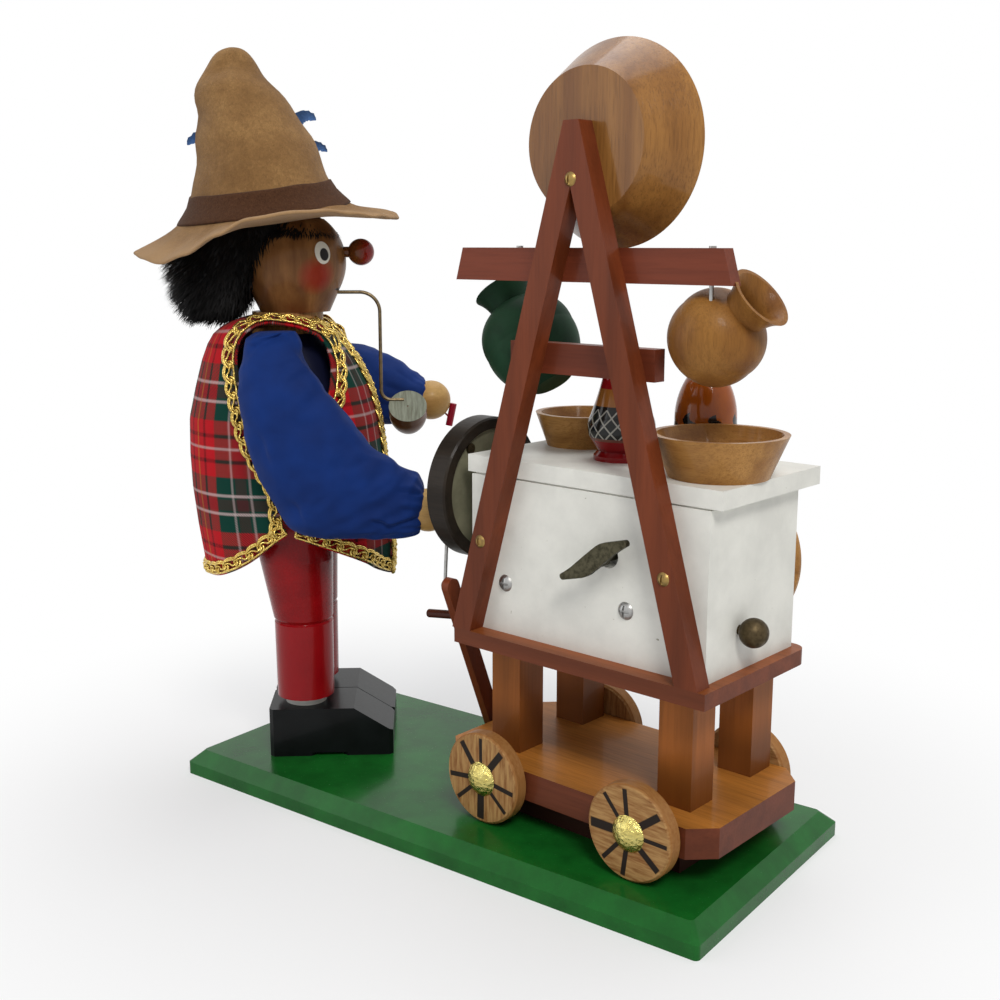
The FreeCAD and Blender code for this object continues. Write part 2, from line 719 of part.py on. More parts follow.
def jug(name, x, y, z, tilt, belly, foot, foot_drop, neck, neck_rise, lip, lip_rise, brads, rails):
    """A round-bellied jug that hangs tilted, with an open, flared mouth."""
    side = (neck + (belly - neck) * 0.77, neck_rise * 0.62)
    under = (foot + (belly - foot) * 0.78, -foot_drop * 0.58)
    throat = neck - S.jug_wall
    profile = [
        (0, -foot_drop), (foot, -foot_drop, under), (belly, 0, side),
        (neck, neck_rise, (neck + (lip - neck) * 0.3, (neck_rise + lip_rise) / 2)), (lip, lip_rise),
        (lip - S.jug_wall * 0.8, lip_rise, (throat + (lip - neck) * 0.25, (neck_rise + lip_rise) / 2)),
        (throat, neck_rise), (throat, lip_rise - S.jug_mouth_depth), (0, lip_rise - S.jug_mouth_depth),
    ]
    place = at(CART_FRAME, x, y, z, Rotation(ALONG_Y, tilt.value))
    blank = turned(name + "_blank", profile, place)
    node(name, cut(name, blank, [brads] + rails))


def build_jugs(brads, rails):
    jug(
        "tan_jug", S.tan_x, S.tan_y, UPPER_RAIL - S.tan_drop, S.tan_tilt, S.tan_belly, S.tan_foot,
        S.tan_foot_drop, S.tan_neck, S.tan_neck_rise, S.tan_lip, S.tan_lip_rise, brads, rails,
    )
    jug(
        "green_jug", S.green_x, S.green_y, UPPER_RAIL - S.green_drop, S.green_tilt, S.green_belly, S.green_foot,
        S.green_foot_drop, S.green_neck, S.green_neck_rise, S.green_lip, S.green_lip_rise, brads, rails,
    )


def build_vases():
    """A waisted vase on a spreading foot, and a plain bellied one behind the right bowl."""
    tall = S.lattice_height
    lattice = [
        (0, 0), (S.lattice_foot, 0), (S.lattice_foot, tall * 0.05),
        (S.lattice_waist, tall * 0.1, (S.lattice_waist * 1.15, tall * 0.16)), (S.lattice_belly * 0.93, tall * 0.23,
        (S.lattice_belly, tall * 0.34)), (S.lattice_belly * 0.92, tall * 0.46,
        (S.lattice_belly * 0.76, tall * 0.62)), (S.lattice_neck, tall * 0.82,
        (S.lattice_neck * 0.99, tall * 0.92)), (S.lattice_neck * 1.16, tall), (0, tall),
    ]
    node("lattice_vase", turned("lattice_vase", lattice, at(CART_FRAME, S.lattice_x, S.lattice_y, LID_TOP)))
    high = S.flame_height
    flame = [
        (0, 0), (S.flame_foot, 0, (S.flame_belly * 0.98, high * 0.2)), (S.flame_belly, high * 0.4,
        (S.flame_belly * 0.93, high * 0.62)), (S.flame_neck, high * 0.86), (S.flame_neck * 1.18, high), (0, high),
    ]
    node("flame_vase", turned("flame_vase", flame, at(CART_FRAME, S.flame_x, S.flame_y, LID_TOP)))


def build_wall_plate():
    """The turned plate that stands on the tray against the far wall."""
    rim = S.plate_radius - S.plate_rim
    profile = [
        (0, 0), (rim, 0), (S.plate_radius, S.plate_height * 0.7), (S.plate_radius, S.plate_height),
        (rim, S.plate_height), (rim - S.plate_rim, S.plate_height * 0.5), (0, S.plate_height * 0.5),
    ]
    place = at(CART_FRAME, S.plate_x, S.case_back, TRAY_TOP + S.plate_radius, towards(ALONG_Y))
    node("wall_plate", turned("wall_plate", profile, place))


# The musical movement inside the case

def gear(teeth, pitch, width, phase=0):
    """A spur gear made from its tooth count and pitch radius, with room between its teeth."""
    step = 360 / teeth
    tip = pitch + S.gear_addendum.value
    root = pitch - S.gear_dedendum.value
    shares = ((0, root), (0.3, root), (0.41, tip), (0.59, tip), (0.7, root))
    corners = []
    for number in range(teeth):
        for share, radius in shares:
            turn = math.radians((number + share - 0.5) * step + phase)
            corners.append(Vector(radius * math.cos(turn), radius * math.sin(turn), 0))
    face = Part.Face(Part.makePolygon(corners + corners[:1]))
    return face.extrude(Vector(0, 0, width))


def pitch_radius(teeth, other, distance):
    return distance * teeth / (teeth + other)


DRUM_LINE = towards(ALONG_X)


def along_drum(x, y=S.axle_y, z=DRUM_HEIGHT):
    return at(CART_FRAME, x, y, z, DRUM_LINE)


def build_bedplate(screws, arbor):
    """The cast bed on the near wall, with a bracket at each end of the drum."""
    front = WALL_NEAR
    back = front + S.bed_thickness
    plate = box(
        "bed_plate", (S.bed_left, front, BED_BOTTOM), (S.bed_right, back, BED_TOP), CART_FRAME,
    )
    brackets = []
    for x in (S.bracket_left_x, S.bracket_right_x):
        low = (x, front, DRUM_HEIGHT - S.bracket_height / 2)
        high = (x + S.bracket_thickness, front + S.bracket_reach, BED_TOP)
        brackets.append(box(f"bracket_{len(brackets)}", low, high, CART_FRAME))
    foot_low = (S.drum_left, front, BED_BOTTOM)
    foot_high = (S.drum_left + S.comb_width, front + S.bed_thickness + S.comb_bar, COMB_BOTTOM)
    foot = box("comb_foot", foot_low, foot_high, CART_FRAME)
    bed = fuse("bed_blank", [plate, foot] + brackets)
    gap = S.running_gap
    span = S.bed_right - S.bed_left
    drum_hole = rod("drum_hole", S.arbor_radius + gap, span, along_drum(S.bed_left))
    drive_height = DRUM_HEIGHT + S.gear_distance
    drive_hole = rod("drive_hole", S.drive_radius + gap, span, along_drum(S.bed_left, S.axle_y, drive_height))
    fly_hole = rod("fly_hole", S.arbor_radius + gap, span, along_drum(S.bed_left, FLY_Y))
    key_hole = rod(
        "key_clearance", S.key_arbor_radius + gap, S.wall * 2,
        at(CART_FRAME, S.barrel_x, S.case_front, DRUM_HEIGHT, towards(ALONG_Y)),
    )
    node("movement_bedplate", cut("movement_bedplate", bed, [screws, drum_hole, drive_hole, fly_hole, key_hole]))


FLY_Y = S.axle_y + S.fly_distance
COMB_BOTTOM = DRUM_HEIGHT - S.drum_radius - S.pin_length - S.comb_gap - S.comb_thickness


def build_comb():
    """The steel comb: a bar screwed to its foot and slots that leave the teeth free."""
    bottom = COMB_BOTTOM
    front = WALL_NEAR + S.bed_thickness
    low = (S.drum_left, front, bottom)
    high = (S.drum_left + S.comb_width, front + S.comb_depth, bottom + S.comb_thickness)
    blank = box("comb_blank", low, high, CART_FRAME)
    pitch = S.comb_width / COMB_TEETH
    slots = []
    for number in range(1, COMB_TEETH):
        x = S.drum_left + pitch * number - S.comb_slot / 2
        slot_low = (x, front + S.comb_bar, BED_BOTTOM)
        slot_high = (x + S.comb_slot, front + S.comb_depth + S.comb_bar, DRUM_HEIGHT)
        slots.append(box(f"comb_slot_{number}", slot_low, slot_high, CART_FRAME))
    node("tone_comb", cut("tone_comb", blank, slots))


def build_drum():
    """The pinned drum, its arbor, the pinion that drives it and the wheels that it drives."""
    radius = S.drum_radius.value
    start = S.drum_left.value
    arbor_end = (PINION_X + S.pinion_width).value
    arbor_start = S.drum_arbor_left.value
    shape = Part.makeCylinder(S.arbor_radius.value, arbor_end - arbor_start, Vector(0, 0, arbor_start))
    length = S.drum_right.value - start
    shape = shape.fuse(Part.makeCylinder(radius, length, Vector(0, 0, start)))
    pin_reach = radius + S.pin_length.value
    pitch = S.comb_width.value / COMB_TEETH
    for number in range(DRUM_PINS):
        along = start + pitch * (number * 7 % COMB_TEETH + 0.5)
        turn = math.radians(360 / DRUM_PINS * number)
        outward = Vector(math.cos(turn), math.sin(turn), 0)
        pin = Part.makeCylinder(S.pin_radius.value, pin_reach, Vector(0, 0, along), outward)
        shape = shape.fuse(pin)
    half = S.gear_distance.value / 2
    spur = gear(GEAR_TEETH, half, S.gear_width.value)
    spur.translate(Vector(0, 0, S.gear_x.value))
    pinion_pitch = S.crown_radius.value * PINION_TEETH / BARREL_TEETH
    pinion = gear(PINION_TEETH, pinion_pitch, S.pinion_width.value)
    pinion.translate(Vector(0, 0, PINION_X.value))
    wheel_pitch = pitch_radius(FLY_WHEEL_TEETH, FLY_PINION_TEETH, S.fly_distance.value)
    fly_wheel = gear(FLY_WHEEL_TEETH, wheel_pitch, S.fly_thickness.value * 1.2)
    fly_wheel.translate(Vector(0, 0, S.drum_right.value + S.running_gap.value))
    shape = shape.multiFuse([spur, pinion, fly_wheel])
    place = CART_FRAME.multiply(Placement(point(0, S.axle_y, DRUM_HEIGHT), DRUM_LINE))
    return node("pinned_cylinder", formed("pinned_cylinder", shape, place))


PINION_X = S.barrel_x - S.crown_radius - S.pinion_width / 2


def build_barrel():
    """The spring barrel, with crown teeth that turn the drum's pinion."""
    depth = S.barrel_depth.value
    outer = S.barrel_radius.value
    wall = S.barrel_wall.value
    gap = S.running_gap.value
    shape = Part.makeCylinder(outer, depth)
    bore = S.key_arbor_radius.value + gap
    shape = shape.cut(Part.makeCylinder(outer - wall, depth - wall * 2, Vector(0, 0, wall)))
    shape = shape.cut(Part.makeCylinder(bore, depth))
    step = 360 / BARREL_TEETH
    radius = S.crown_radius.value
    half_width = S.crown_width.value / 2
    tooth_half = math.radians(step * 0.17)
    for number in range(BARREL_TEETH):
        tooth = crown_tooth(radius, half_width, tooth_half, depth)
        tooth.rotate(Vector(), UP, step * number)
        shape = shape.fuse(tooth)
    place = at(CART_FRAME, S.barrel_x, BARREL_FRONT, DRUM_HEIGHT, towards(ALONG_Y))
    return node("spring_barrel", formed("spring_barrel", shape, place))


def crown_tooth(radius, half_width, tooth_half, depth):
    """One tooth that stands on the barrel's back face."""
    inner = radius - half_width
    outer = radius + half_width
    foot = depth - S.barrel_wall.value / 2
    corners = [
        Vector(inner, -inner * tooth_half, foot), Vector(outer, -outer * tooth_half, foot),
        Vector(outer, outer * tooth_half, foot), Vector(inner, inner * tooth_half, foot),
    ]
    face = Part.Face(Part.makePolygon(corners + corners[:1]))
    return face.extrude(Vector(0, 0, S.crown_tooth.value + S.barrel_wall.value / 2))


BARREL_FRONT = WALL_NEAR + S.bed_thickness + S.treadle_gap


def build_drive_shaft():
    """The shaft from the movement, through the left wall, to the grinding wheel."""
    half = S.gear_distance.value / 2
    start = (S.ring_left + S.disc_recess).value
    end = S.bracket_left_x.value + S.bracket_thickness.value
    shape = Part.makeCylinder(S.drive_radius.value, end - start, Vector(0, 0, start))
    spur = gear(GEAR_TEETH, half, S.gear_width.value)
    spur.translate(Vector(0, 0, S.gear_x.value))
    place = CART_FRAME.multiply(Placement(point(0, S.axle_y, DRIVE_HEIGHT), DRUM_LINE))
    return node("drive_shaft", formed("drive_shaft", shape.fuse(spur), place))


DRIVE_HEIGHT = DRUM_HEIGHT + S.gear_distance


def build_governor():
    """The fly that holds the speed: a small pinion and two vanes on one arbor."""
    pinion_pitch = pitch_radius(FLY_PINION_TEETH, FLY_WHEEL_TEETH, S.fly_distance.value)
    start = S.bracket_left_x.value
    end = (FLY_VANE_X + S.fly_width).value
    shape = Part.makeCylinder(S.arbor_radius.value, end - start, Vector(0, 0, start))
    pinion = gear(FLY_PINION_TEETH, pinion_pitch, S.pinion_width.value, phase=180 / FLY_PINION_TEETH)
    pinion.translate(Vector(0, 0, (S.drum_right + S.running_gap).value))
    vane_size = (S.fly_radius * 2, S.fly_thickness, S.fly_width)
    corner = Vector(-S.fly_radius.value, -S.fly_thickness.value / 2, FLY_VANE_X.value)
    vanes = Part.makeBox(*(size.value for size in vane_size), corner)
    place = CART_FRAME.multiply(Placement(point(0, FLY_Y, DRUM_HEIGHT), DRUM_LINE))
    return node("governor", formed("governor", shape.multiFuse([pinion, vanes]), place))


FLY_VANE_X = S.bracket_right_x + S.bracket_thickness + S.running_gap * 3


# Winding key and stop knob

def build_key():
    """A leaf-shaped key on a round hub, and the arbor that it winds."""
    gap = S.treadle_gap
    inside = (BARREL_FRONT - S.case_front) + S.barrel_depth - S.barrel_wall
    start = -inside
    arbor = rod("key_arbor", S.key_arbor_radius, inside + S.key_clear, key_place(start))
    hub = rod("key_hub", S.key_hub_radius, S.key_hub_length, key_place(S.key_clear))
    half = S.key_span / 2
    bulge = S.key_bulge
    outline = []
    for side in (1, -1):
        for along, aside, arc_along, arc_aside in KEY_SHARES:
            outline.append((half * (side * along), bulge * (side * aside),
                            (half * (side * arc_along), bulge * (side * arc_aside))))
    wing = sawn("key_wing", "XY_Plane", outline, 0, S.key_plate, key_place(S.key_clear + S.key_hub_length))
    return node("winding_key", fuse("winding_key", [arbor, hub, wing]))


# Half of the leaf's outline: each corner along and aside, and the middle of the arc that leaves it
KEY_SHARES = (
    (0.965, -0.2, 1, 0.12), (0.93, 0.4, 0.69, 0.68), (0.43, 0.97, 0.32, 1.01), (0.2, 0.97, -0.19, 0.68),
    (-0.61, 0.33, -0.79, 0.25),
)


def key_place(out):
    """A place on the key's axis, measured out from the near wall."""
    place = at(CART_FRAME, S.barrel_x, S.case_front - out, DRUM_HEIGHT, towards(-ALONG_Y))
    return place.multiply(Placement(Vector(), Rotation(UP, KEY_ROLL)))


KEY_ROLL = (Rotation(ALONG_Y, -S.key_tilt.value).multVec(ALONG_X)).getAngle(ALONG_X) * 180 / math.pi


def build_knob():
    """The ball on the stop rod, which is pulled out to let the music play."""
    reach = S.wall + S.knob_rod_inside
    height = TRAY_TOP + S.knob_rise
    place = at(CART_FRAME, S.case_right - reach, S.knob_y, height, towards(ALONG_X))
    stem = rod("knob_stem", S.knob_rod, reach + S.knob_stand + S.knob_radius, place)
    centre = S.case_right + S.knob_stand + S.knob_radius
    head = ball("knob_ball", S.knob_radius, at(CART_FRAME, centre, S.knob_y, height))
    return node("stop_knob", fuse("stop_knob", [stem, head]))


def clearance_hole(name, radius, x, y, z, direction):
    """A hole through a wall, long enough for every wall."""
    place = at(CART_FRAME, x, y, z, towards(direction))
    return rod(name, radius, S.wall * 2, place)


# Grinding wheel, crank, rod and treadle

def build_grinding_wheel():
    axis = towards(ALONG_X)
    ring_place = at(CART_FRAME, S.ring_left, S.axle_y, DRIVE_HEIGHT, axis)
    edge = S.disc_recess / 2
    ring = [
        (S.ring_bore, 0), (S.ring_radius - edge, 0), (S.ring_radius, edge), (S.ring_radius, S.ring_width - edge),
        (S.ring_radius - edge, S.ring_width), (S.ring_bore, S.ring_width),
    ]
    node("grinding_ring", turned("grinding_ring", ring, ring_place))
    right = S.ring_left + S.ring_width - S.disc_recess
    left = right - S.disc_thickness
    disc_place = at(CART_FRAME, left, S.axle_y, DRIVE_HEIGHT, axis)
    disc = [
        (S.drive_radius, 0), (S.ring_bore, 0), (S.ring_bore, S.disc_thickness), (S.drive_radius, S.disc_thickness),
    ]
    crank = crank_nail(left, right)
    blank = turned("disc_blank", disc, disc_place)
    node("grinding_disc", cut("grinding_disc", blank, [crank]))
    node("crank_nail", crank)


def crank_nail(left, right):
    """The nail through the disc that the rod hangs on. Its head is on the right face."""
    turn = math.radians(S.crank_angle.value)
    y = S.axle_y + S.crank_radius * math.cos(turn)
    z = DRIVE_HEIGHT + S.crank_radius * math.sin(turn)
    end = CRANK_END
    profile = [
        (0, end - right), (S.crank_shank, end - right), (S.crank_shank, 0), (S.crank_head, 0),
        (S.crank_head, S.crank_head_height), (0, S.crank_head_height),
    ]
    return turned("crank_nail", profile, at(CART_FRAME, right, y, z, towards(ALONG_X)))


CRANK_END = S.ring_left - S.rod_end_gap
ROD_X = CRANK_END - S.rod_gap - S.rod_radius
TREADLE_RIGHT = S.treadle_left + S.treadle_thickness


def treadle_end():
    lean = math.radians(S.treadle_lean.value)
    y = S.treadle_axis_y - S.treadle_length * math.sin(lean)
    z = S.treadle_axis_height + S.treadle_length * math.cos(lean)
    return y, z


def crank_end():
    turn = math.radians(S.crank_angle.value)
    y = S.axle_y + S.crank_radius * math.cos(turn)
    z = DRIVE_HEIGHT + S.crank_radius * math.sin(turn)
    return y, z


def eye(name, y, z):
    """The ring bent at an end of the rod."""
    item = doc.addObject("Part::Torus", name)
    item.setExpression("Radius1", S.rod_eye.text)
    item.setExpression("Radius2", (S.rod_radius * 0.8).text)
    item.Placement = at(CART_FRAME, ROD_X, y, z, towards(ALONG_X))
    return item


def build_rod():
    """The wire from the treadle's pin up to the crank."""
    low_y, low_z = treadle_end()
    high_y, high_z = crank_end()
    low = point(0, low_y, low_z)
    high = point(0, high_y, high_z)
    span = high - low
    direction = Vector(span).normalize()
    start = low + direction * S.rod_eye.value
    length = span.Length - S.rod_eye.value * 2
    place = at(CART_FRAME, ROD_X, start.y, start.z, towards(direction))
    wire = doc.addObject("Part::Cylinder", "rod_wire")
    wire.setExpression("Radius", S.rod_radius.text)
    wire.Height = length
    wire.Placement = place
    eyes = [eye("rod_eye_low", low_y, low_z), eye("rod_eye_high", high_y, high_z)]
    node("connecting_rod", fuse("connecting_rod", [wire] + eyes))


def build_treadle():
    """The rocking arm on the chassis, with its foot peg and the pin that carries the rod."""
    lean = S.treadle_lean.value
    place = at(
        CART_FRAME, S.treadle_left, S.treadle_axis_y, S.treadle_axis_height, Rotation(ALONG_X, lean),
    )
    half = S.treadle_width / 2
    outline = [
        (half, 0), (half, S.treadle_length, (0, S.treadle_length + half)), (-half, S.treadle_length),
        (-half, 0, (0, -half)),
    ]
    arm = sawn("treadle_board", "YZ_Plane", outline, 0, S.treadle_thickness, place)
    bore = rod(
        "treadle_bore", S.pivot_radius + S.running_gap, S.treadle_thickness,
        place.multiply(Placement(Vector(), towards(ALONG_X))),
    )
    peg_height = S.treadle_length - S.peg_drop
    dip = Rotation(ALONG_Y, -(90 + S.peg_dip.value))
    peg_place = place.multiply(Placement(point(S.treadle_thickness, 0, peg_height), dip))
    peg = rod("foot_peg", S.peg_radius, S.peg_length + S.treadle_thickness, peg_place)
    pin_start = S.treadle_left - S.rod_pin_stand
    end_y, end_z = treadle_end()
    pin_place = at(CART_FRAME, pin_start, end_y, end_z, towards(ALONG_X))
    pin = rod("rod_pin", S.rod_pin_radius, S.rod_pin_stand, pin_place)
    drilled = cut("treadle_drilled", arm, [bore, peg])
    node("treadle_arm", fuse("treadle_arm", [drilled, pin]))
    node("foot_peg", peg)


def build_treadle_pivot():
    """The screw and its distance collar on the chassis's end."""
    gap = S.treadle_gap
    y, z = S.treadle_axis_y, S.treadle_axis_height
    head_x = S.treadle_left - gap
    axis = towards(-ALONG_X)
    depth = S.chassis_left - head_x + S.pivot_washer * 2
    profile = [
        (0, -depth), (S.pivot_radius, -depth), (S.pivot_radius, 0), (S.pivot_head, 0),
        (S.pivot_head * 0.7, S.pivot_head_height), (0, S.pivot_head_height),
    ]
    screw = turned("pivot_screw", profile, at(CART_FRAME, head_x, y, z, axis))
    collar = rod(
        "pivot_collar", S.pivot_washer, S.chassis_left - TREADLE_RIGHT - gap,
        at(CART_FRAME, TREADLE_RIGHT + gap, y, z, towards(ALONG_X)),
    )
    return node("treadle_pivot", fuse("treadle_pivot", [screw, collar]))


# The smoker's legs

SHOE_TOP = S.board_height + S.shoe_height


def shoe(index, side):
    """A flat-topped shoe with a sloping toe and an arch before its heel."""
    sole = S.board_height
    front = S.shoe_heel
    outline = [
        (front, sole), (S.heel_end, sole), (S.heel_end, sole + S.arch_rise), (S.arch_end, sole + S.arch_rise),
        (S.arch_end, sole), (S.shoe_toe, sole), (S.shoe_toe, sole + S.toe_height), (S.shoe_flat_end, SHOE_TOP),
        (front, SHOE_TOP),
    ]
    middle = S.leg_side * side
    start = middle - S.shoe_width / 2
    body = sawn(f"shoe_{index}", "XZ_Plane", outline, start, S.shoe_width, FIGURE_FRAME)
    doc.recompute()
    rounding = body.newObject("PartDesign::Chamfer", f"shoe_rounding_{index}")
    rounding.Base = (body.Group[-2], vertical_edges(body.Group[-2]))
    rounding.setExpression("Size", (S.shoe_gap * 3).text)
    body.Tip = rounding
    return body


def build_shoes():
    node("shoes", group("shoes", [shoe(0, -1), shoe(1, 1)]))


def build_shins():
    """Each lower leg is turned with its sock ring."""
    legs = []
    sock = S.sock_height
    tall = S.knee_height - SHOE_TOP
    profile = [
        (0, 0), (S.sock_radius, 0), (S.sock_radius, sock), (S.shin_radius, sock),
        (S.shin_top_radius, tall - S.knee_step), (S.shin_top_radius - S.knee_step, tall), (0, tall),
    ]
    for side in (-1, 1):
        place = at(FIGURE_FRAME, 0, S.leg_side * side, SHOE_TOP)
        legs.append(turned(f"shin_{len(legs)}", profile, place))
    node("shins", group("shins", legs))


def build_thighs():
    """The upper legs lean back a little and meet on the middle plane."""
    legs = []
    tall = S.thigh_top - S.knee_height
    reach = S.thigh_radius * 2
    for side in (-1, 1):
        name = f"thigh_{len(legs)}"
        rings = []
        for share in (0, 0.04, 0.75, 1):
            radius = S.shin_top_radius + (S.thigh_radius - S.shin_top_radius) * min(share / 0.75, 1)
            radius = radius - S.knee_step * (1 if share == 0 else 0)
            centre = point(-S.thigh_lean * share, S.leg_side * side, S.knee_height + tall * share)
            rings.append(Part.Wire(Part.Circle(centre, UP, radius.value).toShape()))
        solid = Part.makeLoft(rings, True, True)
        corner = point(-reach, 0 if side > 0 else -reach * 2, S.knee_height)
        solid = solid.common(Part.makeBox(reach.value * 2, reach.value * 2, tall.value, corner))
        legs.append(formed(name, solid, FIGURE_FRAME))
    node("thighs", group("thighs", legs))


TORSO_BOTTOM = S.thigh_top + S.hip_height
HEAD_BOTTOM = S.neck_height + S.collar_height


def build_hips():
    """The turned block on the legs, whose spigot the upper part lifts off, and the cone dish."""
    shift = S.torso_shift
    high = S.hip_height + S.spigot_height
    seat = S.dish_wall
    profile = [
        (0, 0), (S.hip_radius, 0), (S.hip_radius, S.hip_height), (S.spigot_radius, S.hip_height),
        (S.spigot_radius, high), (S.dish_radius, high), (S.dish_radius, high - seat), (0, high - seat),
    ]
    node("hip_block", turned("hip_block", profile, at(FIGURE_FRAME, shift, 0, S.thigh_top)))
    wall = S.dish_wall
    dish = [
        (0, 0), (S.dish_radius, 0), (S.dish_radius, S.dish_rise), (S.dish_radius - wall, S.dish_rise),
        (S.dish_radius - wall * 2, wall), (0, wall),
    ]
    place = at(FIGURE_FRAME, shift, 0, S.thigh_top + high - seat)
    node("incense_dish", turned("incense_dish", dish, place))


# The part that lifts off: torso, head, clothes and arms

def build_torso():
    """The hollow body that the smoke rises through, with its neck ring."""
    wall = S.torso_wall
    chest = S.torso_chest_radius
    shoulder = S.torso_shoulder_radius
    neck_top = S.neck_height + S.collar_height
    tall = S.neck_height - TORSO_BOTTOM
    wide_height = TORSO_BOTTOM + tall * S.torso_wide_share
    chest_height = TORSO_BOTTOM + tall * S.torso_chest_share
    inner_top = TORSO_BOTTOM + tall * S.torso_shoulder_share
    profile = [
        (S.spigot_radius + S.torso_fit, TORSO_BOTTOM), (S.torso_bottom_radius, TORSO_BOTTOM),
        (S.torso_radius, wide_height), (chest, chest_height), (shoulder, inner_top),
        (S.neck_radius, S.neck_height), (S.collar_radius, S.neck_height), (S.collar_radius, neck_top),
        (S.smoke_bore, neck_top), (S.smoke_bore, inner_top), (chest - wall, chest_height),
        (S.torso_radius - wall, wide_height),
        (S.spigot_radius + S.torso_fit, TORSO_BOTTOM + S.spigot_height * 2),
    ]
    blank = turned("torso", profile, at(FIGURE_FRAME, S.torso_shift, 0, 0))
    return node("torso", blank)


def head_blank():
    """A ball that tapers to the chin, with a flat crown under the hat."""
    radius = S.head_radius
    middle = HEAD_BOTTOM + S.head_rise
    drop = radius * sine(S.head_taper)
    cheek = radius * cosine(S.head_taper)
    base = cheek - (S.head_rise - drop) * sine(S.head_taper) / cosine(S.head_taper)
    rise = S.head_height - S.head_rise
    top = HEAD_BOTTOM + S.head_height
    top_radius = Size(math.sqrt(radius.value ** 2 - rise.value ** 2), f"sqrt({radius.text}^2 - {rise.text}^2)")
    profile = [
        (0, HEAD_BOTTOM), (base, HEAD_BOTTOM), (cheek, middle - drop, (radius, middle)), (top_radius, top),
        (0, top),
    ]
    return turned("head_blank", profile, at(FIGURE_FRAME, S.head_shift, 0, 0))


def stem_route():
    """The stem leaves the mouth forwards, bends down in a round quarter and runs into the bowl."""
    bend = S.stem_bend_radius.value
    across = S.stem_bend.value
    high = (HEAD_BOTTOM + S.stem_rise).value
    corner = bend * (1 - math.sqrt(0.5))
    level = Part.LineSegment(Vector(S.stem_start.value, 0, high), Vector(across - bend, 0, high))
    turn = Part.Arc(
        Vector(across - bend, 0, high), Vector(across - corner, 0, high - corner), Vector(across, 0, high - bend),
    )
    low = (HEAD_BOTTOM - S.stem_drop).value
    down = Part.LineSegment(Vector(across, 0, high - bend), Vector(across, 0, low + bend / 2))
    foot_corner = bend / 2 * (1 - math.sqrt(0.5))
    foot = Part.Arc(
        Vector(across, 0, low + bend / 2), Vector(across + foot_corner, 0, low + foot_corner),
        Vector(across + bend / 2, 0, low),
    )
    reach = across + bend / 2 + S.stem_foot_reach.value
    out = Part.LineSegment(Vector(across + bend / 2, 0, low), Vector(reach, 0, low))
    return Part.Wire([piece.toShape() for piece in (level, turn, down, foot, out)])


def build_stem():
    route = stem_route()
    start = Vector(S.stem_start.value, 0, (HEAD_BOTTOM + S.stem_rise).value)
    ring = Part.Wire(Part.Circle(start, ALONG_X, S.stem_radius.value).toShape())
    return node("pipe_stem", formed("pipe_stem", route.makePipeShell([ring], True, False), FIGURE_FRAME))


def build_pipe_bowl(stem):
    """A rounded bowl that hangs with its flat face turned up and to the near side."""
    deep = S.bowl_depth
    radius = S.bowl_radius
    profile = [
        (0, -deep), (radius * 0.42, -deep, (radius * 0.9, -deep * 0.62)), (radius, -deep * 0.22), (radius, 0),
        (S.bowl_dot, 0), (0, -S.bowl_dot),
    ]
    lean = Rotation(ALONG_X, S.bowl_lean.value)
    place = at(FIGURE_FRAME, S.bowl_front, -S.bowl_radius * 0.3, HEAD_BOTTOM - S.bowl_drop, lean)
    blank = turned("pipe_bowl_blank", profile, place)
    node("pipe_bowl", cut("pipe_bowl", blank, [stem]))


def build_nose():
    """A ball nose on a short peg."""
    reach = S.nose_depth
    radius = S.nose_radius
    join = S.nose_neck
    dip = Size(math.sqrt(radius.value ** 2 - join.value ** 2), f"sqrt({radius.text}^2 - {join.text}^2)")
    profile = [
        (0, -radius - reach), (join, -radius - reach), (join, -dip, (radius, 0)), (0, radius),
    ]
    place = at(FIGURE_FRAME, S.nose_front - radius, 0, HEAD_BOTTOM + S.nose_rise, towards(ALONG_X))
    return node("nose", turned("nose", profile, place))


def build_head(stem, nose):
    channel = rod("smoke_channel", S.smoke_bore, S.mouth_rise, at(FIGURE_FRAME, S.head_shift, 0, HEAD_BOTTOM))
    out = towards(ALONG_X)
    mouth_place = at(FIGURE_FRAME, S.head_shift, 0, HEAD_BOTTOM + S.mouth_rise, out)
    mouth = rod("mouth_hole", S.mouth_bore, S.head_radius, mouth_place)
    return node("head", cut("head", head_blank(), [channel, mouth, stem, nose]))


def ring_wire(centre, across, along, half_across, half_along, fullness=0.76):
    """A closed, rounded ring of four arcs about a centre."""
    corners = []
    steps = ((1, 0), (fullness, fullness), (0, 1), (-fullness, fullness), (-1, 0), (-fullness, -fullness),
             (0, -1), (fullness, -fullness))
    for side, front in steps:
        corners.append(centre + across * (half_across * side) + along * (half_along * front))
    arcs = []
    for start in (0, 2, 4, 6):
        arcs.append(Part.Arc(corners[start], corners[start + 1], corners[(start + 2) % 8]).toShape())
    return Part.Wire(arcs)


def level_ring(front, half_front, half_side, height, fullness=0.72):
    """A level ring in the figure's own frame."""
    centre = Vector(front, 0, height)
    return ring_wire(centre, ALONG_Y, ALONG_X, half_side, half_front, fullness)


